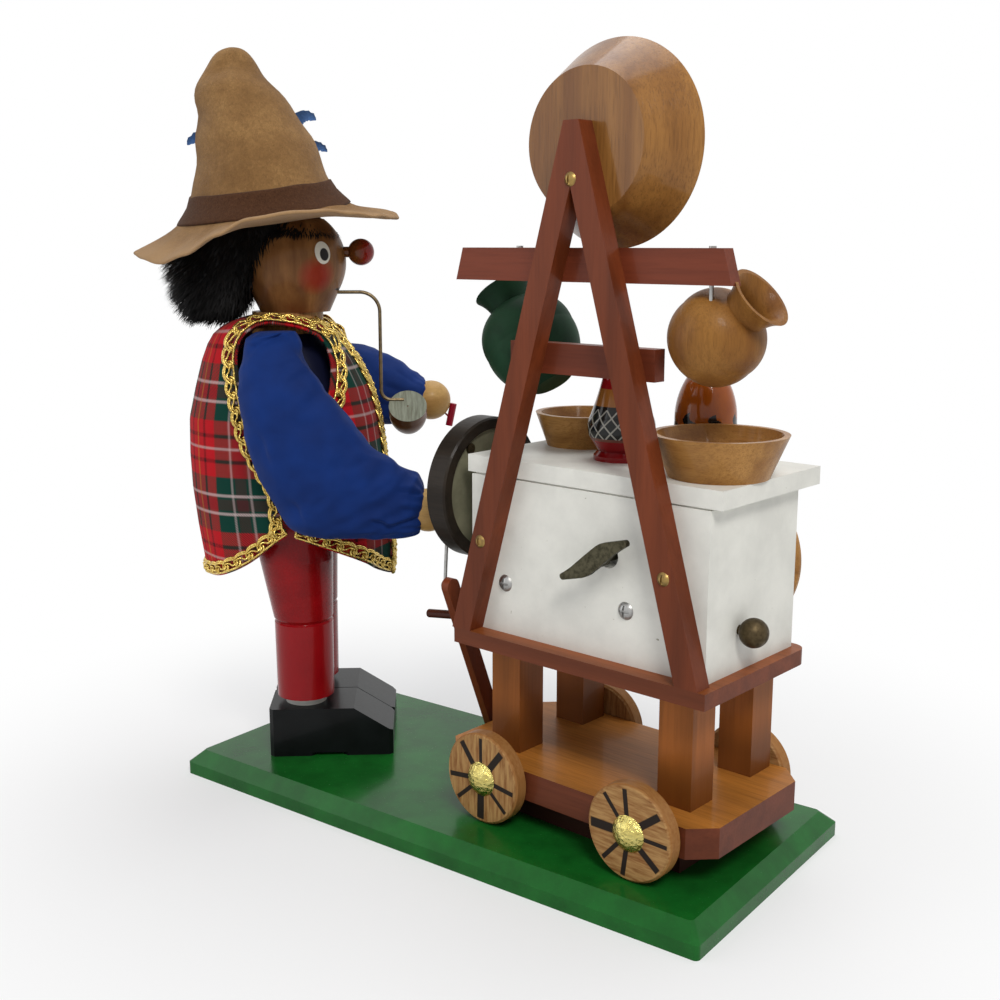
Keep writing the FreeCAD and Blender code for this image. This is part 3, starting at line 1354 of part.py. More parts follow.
def build_hair(head, torso):
    """The fur that wraps the back of the head, under the hat."""
    bottom = (HEAD_BOTTOM - S.hair_drop).value
    tall = (HEAD_BOTTOM + S.head_height).value - bottom
    middle = (S.hair_back.value + S.hair_front.value) / 2
    half = (S.hair_front.value - S.hair_back.value) / 2
    wide = S.hair_half_width.value
    table_shares = ((0, 0.62, 0.66, -0.02), (0.18, 0.86, 0.92, 0), (0.5, 1, 1, 0), (0.8, 0.97, 0.97, 0.04),
                    (1, 0.84, 0.86, 0.08))
    rings = []
    for level, front_share, side_share, shift in table_shares:
        height = bottom + tall * level
        rings.append(level_ring(middle + shift * half, half * front_share, wide * side_share, height))
    blank = formed("hair_blank", Part.makeLoft(rings, True), FIGURE_FRAME)
    return node("hair", cut("hair", blank, [head, torso]))


def hat_frame():
    tilt = Rotation(ALONG_Y, -S.hat_tilt.value).multiply(Rotation(ALONG_X, S.hat_roll.value))
    return at(FIGURE_FRAME, S.hat_shift, 0, HEAD_BOTTOM + S.hat_rise, tilt)


def build_hat(head, hair):
    """A felt hat pressed from one piece: a wide brim and a tall, dented crown."""
    rings = [crown_ring(level, share, shift) for level, share, shift in CROWN_SHARES]
    crown = Part.makeLoft(rings, True)
    hat = formed("hat_blank", crown.fuse(brim_solid()), hat_frame())
    return node("hat", cut("hat", hat, [head, hair]))


CROWN_SHARES = (
    (0.06, 1.02, 0), (0.24, 0.81, 0), (0.42, 0.725, 0), (0.57, 0.645, 0.2), (0.68, 0.57, 0.5), (0.8, 0.45, 1),
    (0.89, 0.34, 1.3), (0.97, 0.19, 1.1),
)


def crown_ring(level, share, shift, outside=0):
    """A ring of the crown. Each row has its height, its width and its lean."""
    radius = S.crown_base_radius.value * share + outside
    return level_ring(S.crown_shift.value * shift, radius, radius, S.crown_height.value * level)


def brim_solid():
    """The brim falls away from the crown all round."""
    thick = S.brim_thickness.value
    rise = S.brim_rise.value
    long_half = S.brim_radius.value
    wide_half = S.brim_half_width.value
    inner_half = S.crown_base_radius.value
    outer = level_ring(0, long_half, wide_half, -thick)
    middle = level_ring(0, long_half, wide_half, 0)
    inner = level_ring(0, inner_half, inner_half, rise)
    under = level_ring(0, inner_half, inner_half, rise - thick)
    upper = Part.makeLoft([middle, inner], True, True)
    lower = Part.makeLoft([outer, under], True, True)
    side = Part.makeLoft([outer, middle], True, True)
    return upper.fuse(side).cut(lower)


def build_hat_band(hat, head, hair):
    """The band lies round the foot of the crown and narrows with it."""
    thick = S.band_thickness.value
    low = S.brim_rise.value / S.crown_height.value
    high = low + S.band_height.value / S.crown_height.value
    rings = [crown_ring(low, 0.985, 0, thick), crown_ring(high, 0.835, 0, thick)]
    blank = formed("band_blank", Part.makeLoft(rings, True), hat_frame())
    node("hat_band", cut("hat_band", blank, [hat, head, hair]))


def vest_rings(less, low, high):
    """Rings of the vest's outer form, drawn in by a wall's thickness."""
    bottom = (S.neck_height - S.vest_length).value
    tall = S.neck_height.value - bottom
    hem = S.vest_hem_half.value
    chest = S.vest_chest_half.value
    neck = S.vest_neck_half.value
    wide = S.vest_half_width.value
    neck_wide = S.vest_neck_half_width.value
    forms = (
        (0, -2.4 / 43.5, hem * 0.95, wide * 0.97), (0.15, -0.08, hem, wide), (0.46, -0.14, chest, wide),
        (0.66, -0.16, chest * 0.93, wide * 0.98), (0.8, -0.16, chest * 0.84, wide * 0.88),
        (0.93, -0.2, chest * 0.68, wide * 0.72), (1, -0.24, neck, neck_wide),
    )
    rings = []
    for level, shift, half_front, half_side in forms:
        if low <= level <= high:
            centre = shift * hem
            rings.append(level_ring(centre, half_front - less, half_side - less, bottom + tall * level))
    return rings


def build_vest(torso, head, hair):
    """A sleeveless vest, open at both sides, that hangs from the shoulders past the waist."""
    wall = S.vest_wall.value
    outer = Part.makeLoft(vest_rings(0, 0, 1), True)
    inner = Part.makeLoft(vest_rings(wall, 0, 0.93), True)
    vest = outer.cut(inner)
    wide = S.vest_half_width.value * 2
    hole = S.armhole_half.value
    top = (S.neck_height - S.armhole_drop).value
    arm_low = top - S.armhole_depth.value
    shift = S.torso_shift.value
    upper = Part.makeBox(hole * 2, wide * 2, top - arm_low, Vector(shift - hole, -wide, arm_low))
    round_top = Part.makeCylinder(hole, wide * 2, Vector(shift, -wide, top), ALONG_Y)
    slit = S.side_slit_half.value
    low = (S.neck_height - S.vest_length).value
    side = Part.makeBox(slit * 2, wide * 2, arm_low - low, Vector(shift - slit, -wide, low))
    arms = upper.multiFuse([round_top, side])
    core = Part.makeBox(hole * 6, wide * 0.9, top * 2, Vector(shift - hole * 3, -wide * 0.45, 0))
    blank = formed("vest_blank", vest.cut(arms.cut(core)), FIGURE_FRAME)
    return node("vest", cut("vest", blank, [torso, head, hair]))


def arm_section(near_front, near_height, far_front, far_height, side, half_side, fullness=0.74):
    """A ring of the sleeve between a point of its back line and a point of its front line."""
    first = Vector(near_front, side, near_height)
    last = Vector(far_front, side, far_height)
    middle = (first + last) * 0.5
    along = (last - first) * 0.5
    direction = Vector(along).normalize()
    return ring_wire(middle, ALONG_Y, direction, half_side, along.Length, fullness)


def near_sleeve():
    """The near arm hangs to a full elbow and comes forward level."""
    side = -S.sleeve_side.value
    wide = S.sleeve_wide.value
    cuff = S.cuff_front.value
    top = S.neck_height.value
    low = (S.neck_height - S.near_hand_drop).value
    turn = low / 2
    shares = (
        ((-0.23, 0, 0.08, -0.01), 0.5), ((-0.37, -0.12, 0.18, -0.15), 0.85), ((-0.37, -0.34, 0.31, -0.31), 1),
        ((-0.32, -0.52, 0.55, -0.44), 1.08), ((-0.14, -0.8, 0.69, -0.58), 1.1),
        ((0.12, -0.98, 0.78, -0.63), 1.05),
        ((0.5, -1.02, 0.88, -0.67), 0.95), ((0.86, -1, 0.98, -0.74), 0.85), ((0.98, -0.95, 1.01, -0.84), 0.6),
    )
    drop = top - low + S.hand_radius.value
    rings = []
    for (back, back_drop, front, front_drop), width in shares:
        drift = (back + front) / 2 * S.sleeve_wide.value * 0.4
        ring = arm_section(
            cuff * back, top + drop * back_drop, cuff * front, top + drop * front_drop, side + drift, wide * width,
        )
        rings.append(ring)
    return Part.makeLoft(rings, True)


def far_sleeve():
    """The far arm is raised forwards to the hand by the pipe."""
    side = S.sleeve_side.value
    hand = S.far_hand_side.value
    wide = S.sleeve_wide.value
    cuff = S.cuff_front.value
    top = S.neck_height.value
    drop = top - (S.neck_height - S.far_hand_drop).value + S.hand_radius.value
    shares = (
        ((-0.23, 0, 0.08, -0.01), 0.5, 0), ((-0.33, -0.28, 0.25, -0.22), 0.85, 0),
        ((-0.22, -0.72, 0.45, -0.3), 1, 0.05), ((0.1, -1.1, 0.66, -0.36), 1, 0.25),
        ((0.5, -1.18, 0.84, -0.5), 0.9, 0.6), ((0.86, -1.06, 1, -0.6), 0.75, 0.92),
        ((0.98, -0.98, 1.03, -0.7), 0.6, 1),
    )
    rings = []
    for (back, back_drop, front, front_drop), width, inward in shares:
        place = side + (hand - side) * inward
        ring = arm_section(
            cuff * back, top + drop * back_drop, cuff * front, top + drop * front_drop, place, wide * width,
        )
        rings.append(ring)
    return Part.makeLoft(rings, True)


def build_arms(vest, torso, head, hair):
    near_place = at(FIGURE_FRAME, S.near_hand_front, S.near_hand_side, (S.neck_height - S.near_hand_drop))
    far_place = at(FIGURE_FRAME, S.far_hand_front, S.far_hand_side, (S.neck_height - S.far_hand_drop))
    near_hand = ball("near_hand", S.hand_radius, near_place)
    far_hand = ball("far_hand", S.hand_radius, far_place)
    wire_place = far_place.multiply(Placement(Vector(), towards(Vector(0.72, 0, -0.69))))
    wire = rod("tool_wire", S.wire_radius, S.wire_length, wire_place)
    reach = wire_place.multVec(point(0, 0, S.wire_length))
    lean = Rotation(ALONG_Y, S.stick_lean.value)
    stick_place = Placement(reach, FIGURE_FRAME.Rotation.multiply(lean))
    middle = stick_place.multiply(Placement(point(0, 0, -S.stick_length / 3), Rotation()))
    stick = rod("tool_stick", S.stick_radius, S.stick_length, middle)
    tool = fuse("tool_blank", [wire, stick])
    node("hand_tool", cut("hand_tool", tool, [far_hand]))
    hands = group("hands", [near_hand, far_hand])
    node("hands", hands)
    sleeves = []
    for name, shape in (("near", near_sleeve()), ("far", far_sleeve())):
        blank = formed(f"{name}_sleeve_blank", shape, FIGURE_FRAME)
        sleeves.append(cut(f"{name}_sleeve", blank, [hands, vest, torso, head, hair]))
    node("sleeves", group("sleeves", sleeves))


def build_cart():
    nails = build_wheels()
    pivot = build_treadle_pivot()
    build_chassis(nails, pivot)
    build_support_block()
    build_posts()
    build_tray()
    screws = build_frame_screws()
    brads = build_brads()
    build_legs(screws)
    rails = build_rails(brads)
    build_pan(screws)
    build_jugs(brads, rails)
    build_bowls()
    build_vases()
    build_wall_plate()
    machine = build_movement_screws()
    key_hole = clearance_hole("key_hole", S.key_hole_radius, S.barrel_x, S.case_front, DRUM_HEIGHT, ALONG_Y)
    bush_hole = clearance_hole("bush_hole", S.bush_radius, S.case_left - S.wall, S.axle_y, DRIVE_HEIGHT, ALONG_X)
    knob_height = TRAY_TOP + S.knob_rise
    knob_radius = S.knob_rod + S.running_gap
    knob_hole = clearance_hole("knob_hole", knob_radius, WALL_RIGHT - S.wall, S.knob_y, knob_height, ALONG_X)
    build_case([screws, machine, key_hole], bush_hole, knob_hole)
    build_lid()
    build_bedplate(machine, key_hole)
    build_comb()
    build_drum()
    build_barrel()
    build_drive_shaft()
    build_governor()
    build_key()
    build_knob()
    build_grinding_wheel()
    build_rod()
    build_treadle()


def build_figure():
    build_shoes()
    build_shins()
    build_thighs()
    build_hips()
    torso = build_torso()
    stem = build_stem()
    build_pipe_bowl(stem)
    nose = build_nose()
    head = build_head(stem, nose)
    hair = build_hair(head, torso)
    hat = build_hat(head, hair)
    build_hat_band(hat, head, hair)
    vest = build_vest(torso, head, hair)
    build_arms(vest, torso, head, hair)


def check_model():
    """Stops before anything is written if an object failed or a sub-part is not sound."""
    faults = []
    for item in doc.Objects:
        if "Invalid" in item.State or "Error" in item.State:
            faults.append(f"{item.Name} failed: {item.State}")
    for item in nodes:
        shape = item.Shape
        if shape.isNull() or not shape.isValid() or not shape.Solids:
            faults.append(f"{item.Label} is not sound")
    if faults:
        raise RuntimeError("; ".join(faults))


def write_parts():
    os.makedirs("parts", exist_ok=True)
    for item in nodes:
        item.Shape.exportStep(f"parts/{item.Label}.step")
        print(item.Label, len(item.Shape.Solids), round(item.Shape.Volume, 1))


build_board()
build_cart()
build_figure()
doc.recompute()
check_model()
write_parts()
print(len(nodes), "nodes")
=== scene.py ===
import random
from functools import partial
from itertools import accumulate
from math import atan2, copysign, cos, degrees, exp, hypot, pi, radians, sin, sqrt

import bpy
from mathutils import Matrix, Vector, noise


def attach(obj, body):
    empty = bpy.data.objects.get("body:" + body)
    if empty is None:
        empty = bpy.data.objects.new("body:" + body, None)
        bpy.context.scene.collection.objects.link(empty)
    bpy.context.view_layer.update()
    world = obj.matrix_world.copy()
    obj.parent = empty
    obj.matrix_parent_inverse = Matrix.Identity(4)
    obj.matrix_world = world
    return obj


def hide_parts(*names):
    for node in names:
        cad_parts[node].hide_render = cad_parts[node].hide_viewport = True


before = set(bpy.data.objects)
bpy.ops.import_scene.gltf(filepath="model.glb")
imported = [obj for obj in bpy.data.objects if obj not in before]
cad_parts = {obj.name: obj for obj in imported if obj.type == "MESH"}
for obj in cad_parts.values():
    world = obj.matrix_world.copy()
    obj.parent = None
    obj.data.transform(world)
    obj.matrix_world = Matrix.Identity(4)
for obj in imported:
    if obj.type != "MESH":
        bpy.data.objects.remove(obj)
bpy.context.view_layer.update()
MM = 0.001

# The frames that the cart, the smoker and its hat are built in, in millimetres
CART = Matrix.Translation((65, 3.5, 0)) @ Matrix.Rotation(radians(-4.9), 4, "Z")
CART = CART @ Matrix.Translation((-65, -3.5, 0))
FIGURE = Matrix.Translation((-103.8, -11.3, 0)) @ Matrix.Rotation(radians(40), 4, "Z")
HAT = FIGURE @ Matrix.Translation((-12.3, 0, 249.8))
HAT = HAT @ Matrix.Rotation(radians(-7), 4, "Y") @ Matrix.Rotation(radians(5), 4, "X")
UPPER = "upper_figure"
COAT_ROUGHNESS = 0.1


class Graph:
    """A short way to write a material's nodes. Its home is the place in millimetres in the given frame."""

    def __init__(self, name, place=None):
        self.material = bpy.data.materials.new(name)
        self.material.use_nodes = True
        self.tree = self.material.node_tree
        self.shader = self.tree.nodes["Principled BSDF"]
        self.coordinates = self.tree.nodes.new("ShaderNodeTexCoord")
        self.home = self.local(place) if place else None

    def node(self, kind, inputs=None, **values):
        made = self.tree.nodes.new("ShaderNode" + kind)
        for key, value in values.items():
            setattr(made, key, value)
        for key, value in (inputs or {}).items():
            self.put(made.inputs[key], value)
        return made

    def put(self, socket, value):
        if isinstance(value, bpy.types.NodeSocket):
            self.tree.links.new(value, socket)
        elif socket.type == "RGBA" and len(value) == 3:
            socket.default_value = (*value, 1)
        else:
            socket.default_value = value

    def local(self, matrix=None, scale=(1, 1, 1)):
        """The place in millimetres, in the given frame, stretched by scale."""
        place = matrix or Matrix()
        mapping = self.node("Mapping", {
            "Vector": self.coordinates.outputs["Object"], "Location": place.to_translation() * MM,
            "Rotation": place.to_euler(), "Scale": (MM, MM, MM),
        }, vector_type="TEXTURE")
        if scale == (1, 1, 1):
            return mapping.outputs[0]
        stretch = self.node("VectorMath", {0: mapping.outputs[0], 1: scale}, operation="MULTIPLY")
        return stretch.outputs[0]

    def noise(self, vector, scale=1, detail=4, rough=0.55, distortion=0):
        made = self.node("TexNoise", {
            "Vector": vector, "Scale": scale, "Detail": detail, "Roughness": rough, "Distortion": distortion,
        })
        return made.outputs["Fac"]

    def math(self, operation, first, second=0):
        return self.node("Math", {0: first, 1: second}, operation=operation).outputs[0]

    def times(self, first, second):
        return self.math("MULTIPLY", first, second)

    def plus(self, first, second):
        return self.math("ADD", first, second)

    def less(self, first, second):
        return self.math("SUBTRACT", first, second)

    def reach(self, first, second):
        """The distance from an axis, of two places beside it."""
        return self.math("POWER", self.plus(self.times(first, first), self.times(second, second)), 0.5)

    def ramp(self, fac, low, high, start=0, end=1):
        """A grey that runs from start to end between two values."""
        made = self.node("ValToRGB", {"Fac": fac})
        for point, place, grey in zip(made.color_ramp.elements, (low, high), (start, end)):
            point.position = place
            point.color = (grey, grey, grey, 1)
        return made.outputs["Color"]

    def mix(self, fac, first, second):
        return self.node("Mix", {0: fac, 6: first, 7: second}, data_type="RGBA").outputs[2]

    def stain(self, body, colour, amount, fac, low, high):
        """Lays a colour over the body where fac is above low, and fully above high."""
        return self.mix(self.times(self.ramp(fac, low, high), amount), body, colour)

    def split(self, vector):
        return self.node("SeparateXYZ", {0: vector}).outputs

    def span(self, value, low, high, kind="SMOOTHSTEP"):
        """0 at low and 1 at high."""
        made = self.node("MapRange", {"Value": value, "From Min": low, "From Max": high},
                         interpolation_type=kind)
        return made.outputs[0]

    def step(self, value, edge, soft):
        """0 below the edge and 1 above it, over a soft width."""
        return self.span(value, edge - soft, edge + soft, "LINEAR")

    def bump(self, height, strength=0.3, distance=0.3):
        made = self.node("Bump", {"Height": height, "Strength": strength, "Distance": distance * MM})
        self.put(self.shader.inputs["Normal"], made.outputs[0])

    def finish(self, colour, rough=0.5, coat=0, metallic=0, sheen=0, shine=0.12):
        values = {"Base Color": colour, "Roughness": rough, "Coat Weight": coat, "Coat Roughness": COAT_ROUGHNESS,
                  "Metallic": metallic, "Sheen Weight": sheen, "Specular IOR Level": shine}
        for name, value in values.items():
            self.put(self.shader.inputs[name], value)
        return self.material


def rgb(red, green, blue):
    """A colour from its printed values, as light."""
    return tuple(((c / 255 + 0.055) / 1.055) ** 2.4 if c > 10 else c / 255 / 12.92 for c in (red, green, blue))


GRAIN = {"x": (0.05, 1, 1), "y": (1, 0.05, 1), "z": (1, 1, 0.05)}


def shaded(colour, share):
    return tuple(min(c * share, 1) for c in colour)


def moved(place, x, y, z):
    """A frame shifted along its own axes."""
    return place @ Matrix.Translation((x, y, z))


def wood(name, light, dark, along, place=CART, rough=0.45, coat=0, streak=1, coarse=1):
    """Bare or stained wood: broad figure and fine dark pores."""
    g = Graph(name)
    stretched = g.local(place, tuple(s * coarse for s in GRAIN[along]))
    figure = g.noise(stretched, 0.09, 3, 0.5, 0.6)
    fine = g.noise(stretched, 1.1, 4, 0.65)
    pores = g.ramp(g.noise(stretched, 3, 2, 0.5), 0.33, 0.47)
    body = g.mix(g.ramp(figure, 0.35, 0.65), light, dark)
    shade = shaded(dark, 0.62)
    body = g.stain(body, shade, 0.55 * streak, fine, 0.45, 0.72)
    body = g.mix(g.times(g.less(1, pores), 0.5 * streak), body, shade)
    g.bump(g.plus(g.times(fine, 0.5), g.times(pores, 0.5)), 0.25, 0.25)
    return g.finish(body, g.plus(rough - 0.06, g.times(fine, 0.14)), coat)


def painted(name, colour, rough=0.3, coat=0.4, place=CART, chips=0, under=(0.25, 0.12, 0.05), mottle=0.12):
    """Brushed paint over wood, with dust, small waves and here and there a chip."""
    g = Graph(name, place)
    cloud = g.noise(g.home, 0.06, 4, 0.6)
    fine = g.noise(g.home, 0.9, 3, 0.5)
    body = g.mix(g.ramp(cloud, 0.35, 0.65), shaded(colour, 1 - mottle * 2), shaded(colour, 1 + mottle * 2))
    if chips:
        spots = g.noise(g.home, 0.35, 6, 0.7)
        body = g.mix(g.ramp(spots, 0.7 - chips * 0.1, 0.715 - chips * 0.1), body, under)
    g.bump(g.plus(g.times(fine, 0.4), cloud), 0.12, 0.35)
    return g.finish(body, g.plus(rough - 0.05, g.times(fine, 0.12)), coat)


def metal(name, colour, rough=0.3, place=CART, tarnish=(0.1, 0.07, 0.04), amount=0.5):
    g = Graph(name, place)
    cloud = g.ramp(g.noise(g.home, 0.4, 5, 0.65), 0.42, 0.68)
    body = g.mix(g.times(cloud, amount), colour, tarnish)
    g.bump(g.noise(g.home, 3, 3, 0.6), 0.12, 0.15)
    return g.finish(body, g.plus(rough, g.times(cloud, 0.25)), 0, 1)


def dress(material, *names):
    for name in names:
        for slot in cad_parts[name].material_slots:
            slot.material = material


def ring_turns(count):
    """The turns at which the points of a ring stand."""
    return [2 * pi * step / count for step in range(count)]


def mesh_piece(name, points, faces, place, material, body=None, uv=None):
    """A smooth mesh from points in millimetres in one of the frames."""
    data = bpy.data.meshes.new(name)
    data.from_pydata([MM * (place @ Vector(p)) for p in points], [], faces)
    data.update()
    data.polygons.foreach_set("use_smooth", [True] * len(data.polygons))
    if uv:
        layer = data.uv_layers.new(name="cloth")
        for loop in data.loops:
            layer.data[loop.index].uv = uv[loop.vertex_index]
    piece = bpy.data.objects.new(name, data)
    bpy.context.collection.objects.link(piece)
    data.materials.append(material)
    if body:
        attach(piece, body)
    return piece


def subdivide(piece):
    smooth = piece.modifiers.new("smooth", "SUBSURF")
    smooth.levels = smooth.render_levels = 1


def thicken(piece, thickness):
    """Gives a sheet its thickness and returns the modifier."""
    thick = piece.modifiers.new("thick", "SOLIDIFY")
    thick.thickness = thickness
    return thick


def soft_step(share):
    """0 to 1 with level ends."""
    return share * share * (3 - 2 * share)


def squared(value, power):
    """A sine or cosine made fuller, for a ring between a circle and a square."""
    return copysign(abs(value) ** power, value)


def grid_faces(rows, columns, closed=True):
    """Faces of a grid of rows of points. A closed grid joins its last column to its first."""
    faces = []
    last = columns if closed else columns - 1
    for row in range(rows - 1):
        for column in range(last):
            after = (column + 1) % columns
            low, high = row * columns, (row + 1) * columns
            faces.append((low + column, low + after, high + after, high + column))
    return faces


def tube_faces(points, around):
    """Faces of rings of points, with both ends closed."""
    count = len(points)
    ends = [tuple(range(around))[::-1], tuple(range(count - around, count))]
    return grid_faces(count // around, around) + ends


def smooth_line(points, pieces=8):
    """Points along a soft curve through the given ones."""
    line = []
    ends = [points[0]] + list(points) + [points[-1]]
    for index in range(1, len(ends) - 2):
        p0, p1, p2, p3 = (Vector(p) for p in ends[index - 1:index + 3])
        for part in range(pieces):
            t = part / pieces
            line.append(0.5 * (2 * p1 + (p2 - p0) * t + (2 * p0 - 5 * p1 + 4 * p2 - p3) * t * t
                               + (3 * p1 - p0 - 3 * p2 + p3) * t * t * t))
    line.append(Vector(points[-1]))
    return line


# Camera, floor and light, at the photograph's angle

LENS = 45.66
SENSOR_WIDTH = 36
AZIMUTH, ELEVATION = radians(36.87), radians(11.41)
TARGET = (3.03, 0, 138.12)
DISTANCE = 539.41
CLIP = (0.01, 50)
# The floor turns white between these distances, and its plane ends at the last
FLOOR_FADE = (110, 330)
FLOOR_HALF = 2500


SKY_COLOUR, SKY_STRENGTH = (0.93, 0.96, 1, 1), 0.36
LAMPS = (
    # name, place and target in metres, size, power, colour
    ("key", (0.9, -0.75, 1.25), (0, 0, 0.14), 0.45, 13.5, (1, 0.98, 0.95)),
    ("fill", (-1, -0.9, 0.6), (0, 0, 0.14), 1, 4, (0.97, 0.98, 1)),
    ("top", (-0.1, 0.5, 1.5), (0, 0, 0.1), 1, 8, (1, 1, 1)),
)


def stand(data, place, ahead):
    """A camera or lamp at a place, looking ahead."""
    made = bpy.data.objects.new(data.name, data)
    bpy.context.collection.objects.link(made)
    made.location = place
    made.rotation_mode = "QUATERNION"
    made.rotation_quaternion = ahead.to_track_quat("-Z", "Y")
    return made


def build_camera():
    data = bpy.data.cameras.new("camera")
    data.sensor_width = SENSOR_WIDTH
    data.lens = LENS
    data.clip_start, data.clip_end = CLIP
    flat = cos(ELEVATION)
    back = Vector((sin(AZIMUTH) * flat, -cos(AZIMUTH) * flat, sin(ELEVATION)))
    bpy.context.scene.camera = stand(data, Vector(TARGET) * MM + back * DISTANCE * MM, -back)


def build_floor():
    """A pale floor that fades to white away from the object."""
    g = Graph("floor")
    place_mm = g.local()
    g.finish(g.mix(g.noise(place_mm, 0.004, 2, 0.5), (0.82, 0.82, 0.82), (0.86, 0.86, 0.86)), 0.9)
    across, depth = g.split(place_mm)[0:2]
    fade = g.span(g.reach(across, depth), *FLOOR_FADE)
    path = g.node("LightPath").outputs
    seen = g.math("MAXIMUM", path["Is Camera Ray"], path["Is Glossy Ray"])
    glow = g.node("Emission")
    white = g.plus(0.4, g.times(fade, 0.6))
    pick = g.node("MixShader", {0: g.times(white, seen), 1: g.shader.outputs[0], 2: glow.outputs[0]})
    g.tree.links.new(pick.outputs[0], g.tree.nodes["Material Output"].inputs["Surface"])
    x = y = FLOOR_HALF
    corners = [(-x, -y, 0), (x, -y, 0), (x, y, 0), (-x, y, 0)]
    mesh_piece("floor", corners, [(0, 1, 2, 3)], Matrix(), g.material)


def area_light(name, place, target, size, power, colour):
    data = bpy.data.lights.new(name, "AREA")
    data.size = size
    data.energy = power
    data.color = colour
    stand(data, place, Vector(target) - Vector(place))


def build_light():
    """Soft daylight that the camera and reflections see as white, and three lamps."""
    world = bpy.data.worlds.new("studio")
    bpy.context.scene.world = world
    world.use_nodes = True
    tree = world.node_tree
    tree.nodes.clear()
    out, pick, path, soft, seen, either = (tree.nodes.new("ShaderNode" + kind) for kind in (
        "OutputWorld", "MixShader", "LightPath", "Background", "Background", "Math"))
    soft.inputs["Color"].default_value = SKY_COLOUR
    soft.inputs["Strength"].default_value = SKY_STRENGTH
    seen.inputs["Color"].default_value = (1, 1, 1, 1)
    either.operation = "MAXIMUM"
    for source, target in (
        (path.outputs["Is Camera Ray"], either.inputs[0]), (path.outputs["Is Glossy Ray"], either.inputs[1]),
        (either.outputs[0], pick.inputs[0]), (soft.outputs[0], pick.inputs[1]), (seen.outputs[0], pick.inputs[2]),
        (pick.outputs[0], out.inputs[0]),
    ):
        tree.links.new(source, target)
    bpy.context.scene.view_settings.view_transform = "Standard"
    for lamp in LAMPS:
        area_light(*lamp)


# Materials of the carried-over pieces

def cart_wood(name, top, side, along, low=0, high=0):
    """Stained beech with painted light: faces that look up take the lighter top colour and the sides the darker
    side colour, and between two heights it is painted darker towards its foot as shade.
    """
    g = Graph(name)
    stretched = g.local(CART, GRAIN[along])
    figure = g.ramp(g.noise(stretched, 0.07, 3, 0.5, 0.6), 0.35, 0.65)
    fine = g.noise(stretched, 0.9, 4, 0.65)
    # Painted light: faces that look up take the lighter top colour and the sides the darker side colour, lit and
    # shaded copies of one stain.
    facing = g.step(g.split(g.node("NewGeometry").outputs["Normal"])[2], 0.5, 0.2)
    body = g.mix(facing, g.mix(figure, side, shaded(side, 0.6)), g.mix(figure, top, shaded(top, 0.6)))
    shade = g.times(g.ramp(fine, 0.45, 0.75), 0.35)
    body = g.mix(shade, body, shaded(side, 0.35))
    # Painted shade: the wood darkens towards its foot, between the two heights, where it stands on the parts below.
    if high > low:
        foot = g.span(g.plus(g.split(g.local(CART))[2], g.times(fine, 6)), high, low)
        body = g.mix(g.times(foot, 0.75), body, shaded(side, 0.3))
    g.bump(fine, 0.15, 0.25)
    return g.finish(body, g.plus(0.4, g.times(fine, 0.12)), 0.08, shine=0.14)


def dress_woodwork():
    # The orange is the lit top colour and the second red the shaded side colour: painted light over the stain.
    orange, shaded_red_side = rgb(186, 120, 50), rgb(112, 56, 34)
    dress(cart_wood("cart_posts_stain_and_light", orange, rgb(166, 96, 38), "z", 48, 66), "cart_posts")
    dress(cart_wood("chassis_stain_and_light", orange, shaded_red_side, "x"), "cart_chassis")
    dress(cart_wood("tray_stain_and_light", rgb(150, 82, 40), rgb(116, 58, 32), "x"), "cart_tray")
    dress(cart_wood("frame_stain", rgb(126, 58, 30), rgb(122, 58, 30), "z"), "frame_legs", "treadle_arm")
    dress(cart_wood("peg_stain_and_light", rgb(88, 42, 26), rgb(76, 36, 24), "x"), "foot_peg")
    dress(cart_wood("rail_stain", rgb(124, 60, 36), rgb(118, 54, 32), "x"), "upper_rail", "lower_rail")
    white = painted("case_white", rgb(226, 225, 217), 0.5, 0.08, chips=0.08, under=rgb(150, 146, 124),
                    mottle=0.03)
    dress(white, "case_near_wall", "case_far_wall", "case_end_walls", "case_lid")
    # The hidden support block under the chassis is painted near black, as the shade there.
    dress(painted("support_shade_dark", rgb(44, 20, 13), 0.6, 0), "cart_support_block")
    board = painted("board_green", rgb(20, 92, 31), 0.24, 0.14, place=Matrix(), mottle=0.1, chips=0.02,
                    under=rgb(50, 90, 46))
    dress(board, "base_board")


def dress_metal():
    dress(metal("brass_screw", rgb(160, 132, 78), 0.32, amount=0.6), "frame_screws", "incense_dish")
    steel = metal("steel", rgb(170, 170, 168), 0.3, tarnish=rgb(90, 85, 78), amount=0.35)
    dress(steel, "rail_brads", "movement_screws", "drive_shaft", "treadle_pivot", "movement_bedplate",
          "tone_comb", "connecting_rod")
    works = metal("works_brass", rgb(196, 164, 92), 0.3, amount=0.3)
    dress(works, "spring_barrel", "pinned_cylinder", "governor")
    bronze = metal("dark_bronze", rgb(84, 72, 52), 0.42, tarnish=rgb(50, 42, 30), amount=0.6)
    dress(bronze, "stop_knob", "crank_nail")
    g = Graph("nail_brass")
    dents = g.node("TexVoronoi", {"Vector": g.local(CART), "Scale": 0.55})
    g.bump(g.plus(dents.outputs["Distance"], g.noise(g.local(CART), 1.4, 3, 0.5)), 0.7, 0.5)
    pale = g.mix(g.noise(g.local(CART), 0.5, 3, 0.6), rgb(226, 214, 136), rgb(168, 146, 70))
    dress(g.finish(pale, 0.2, metallic=1), "hub_nails")
    dress(metal("key_iron", rgb(84, 80, 64), 0.5, tarnish=rgb(46, 44, 34), amount=0.8), "winding_key")


def dress_grinder():
    ring = wood("ring_dark", rgb(46, 38, 30), rgb(28, 23, 18), "x", rough=0.42, coat=0.05, streak=0.5)
    dress(ring, "grinding_ring")
    dress(painted("stone_grey", rgb(122, 120, 98), 0.5, 0.05, mottle=0.12), "grinding_disc")


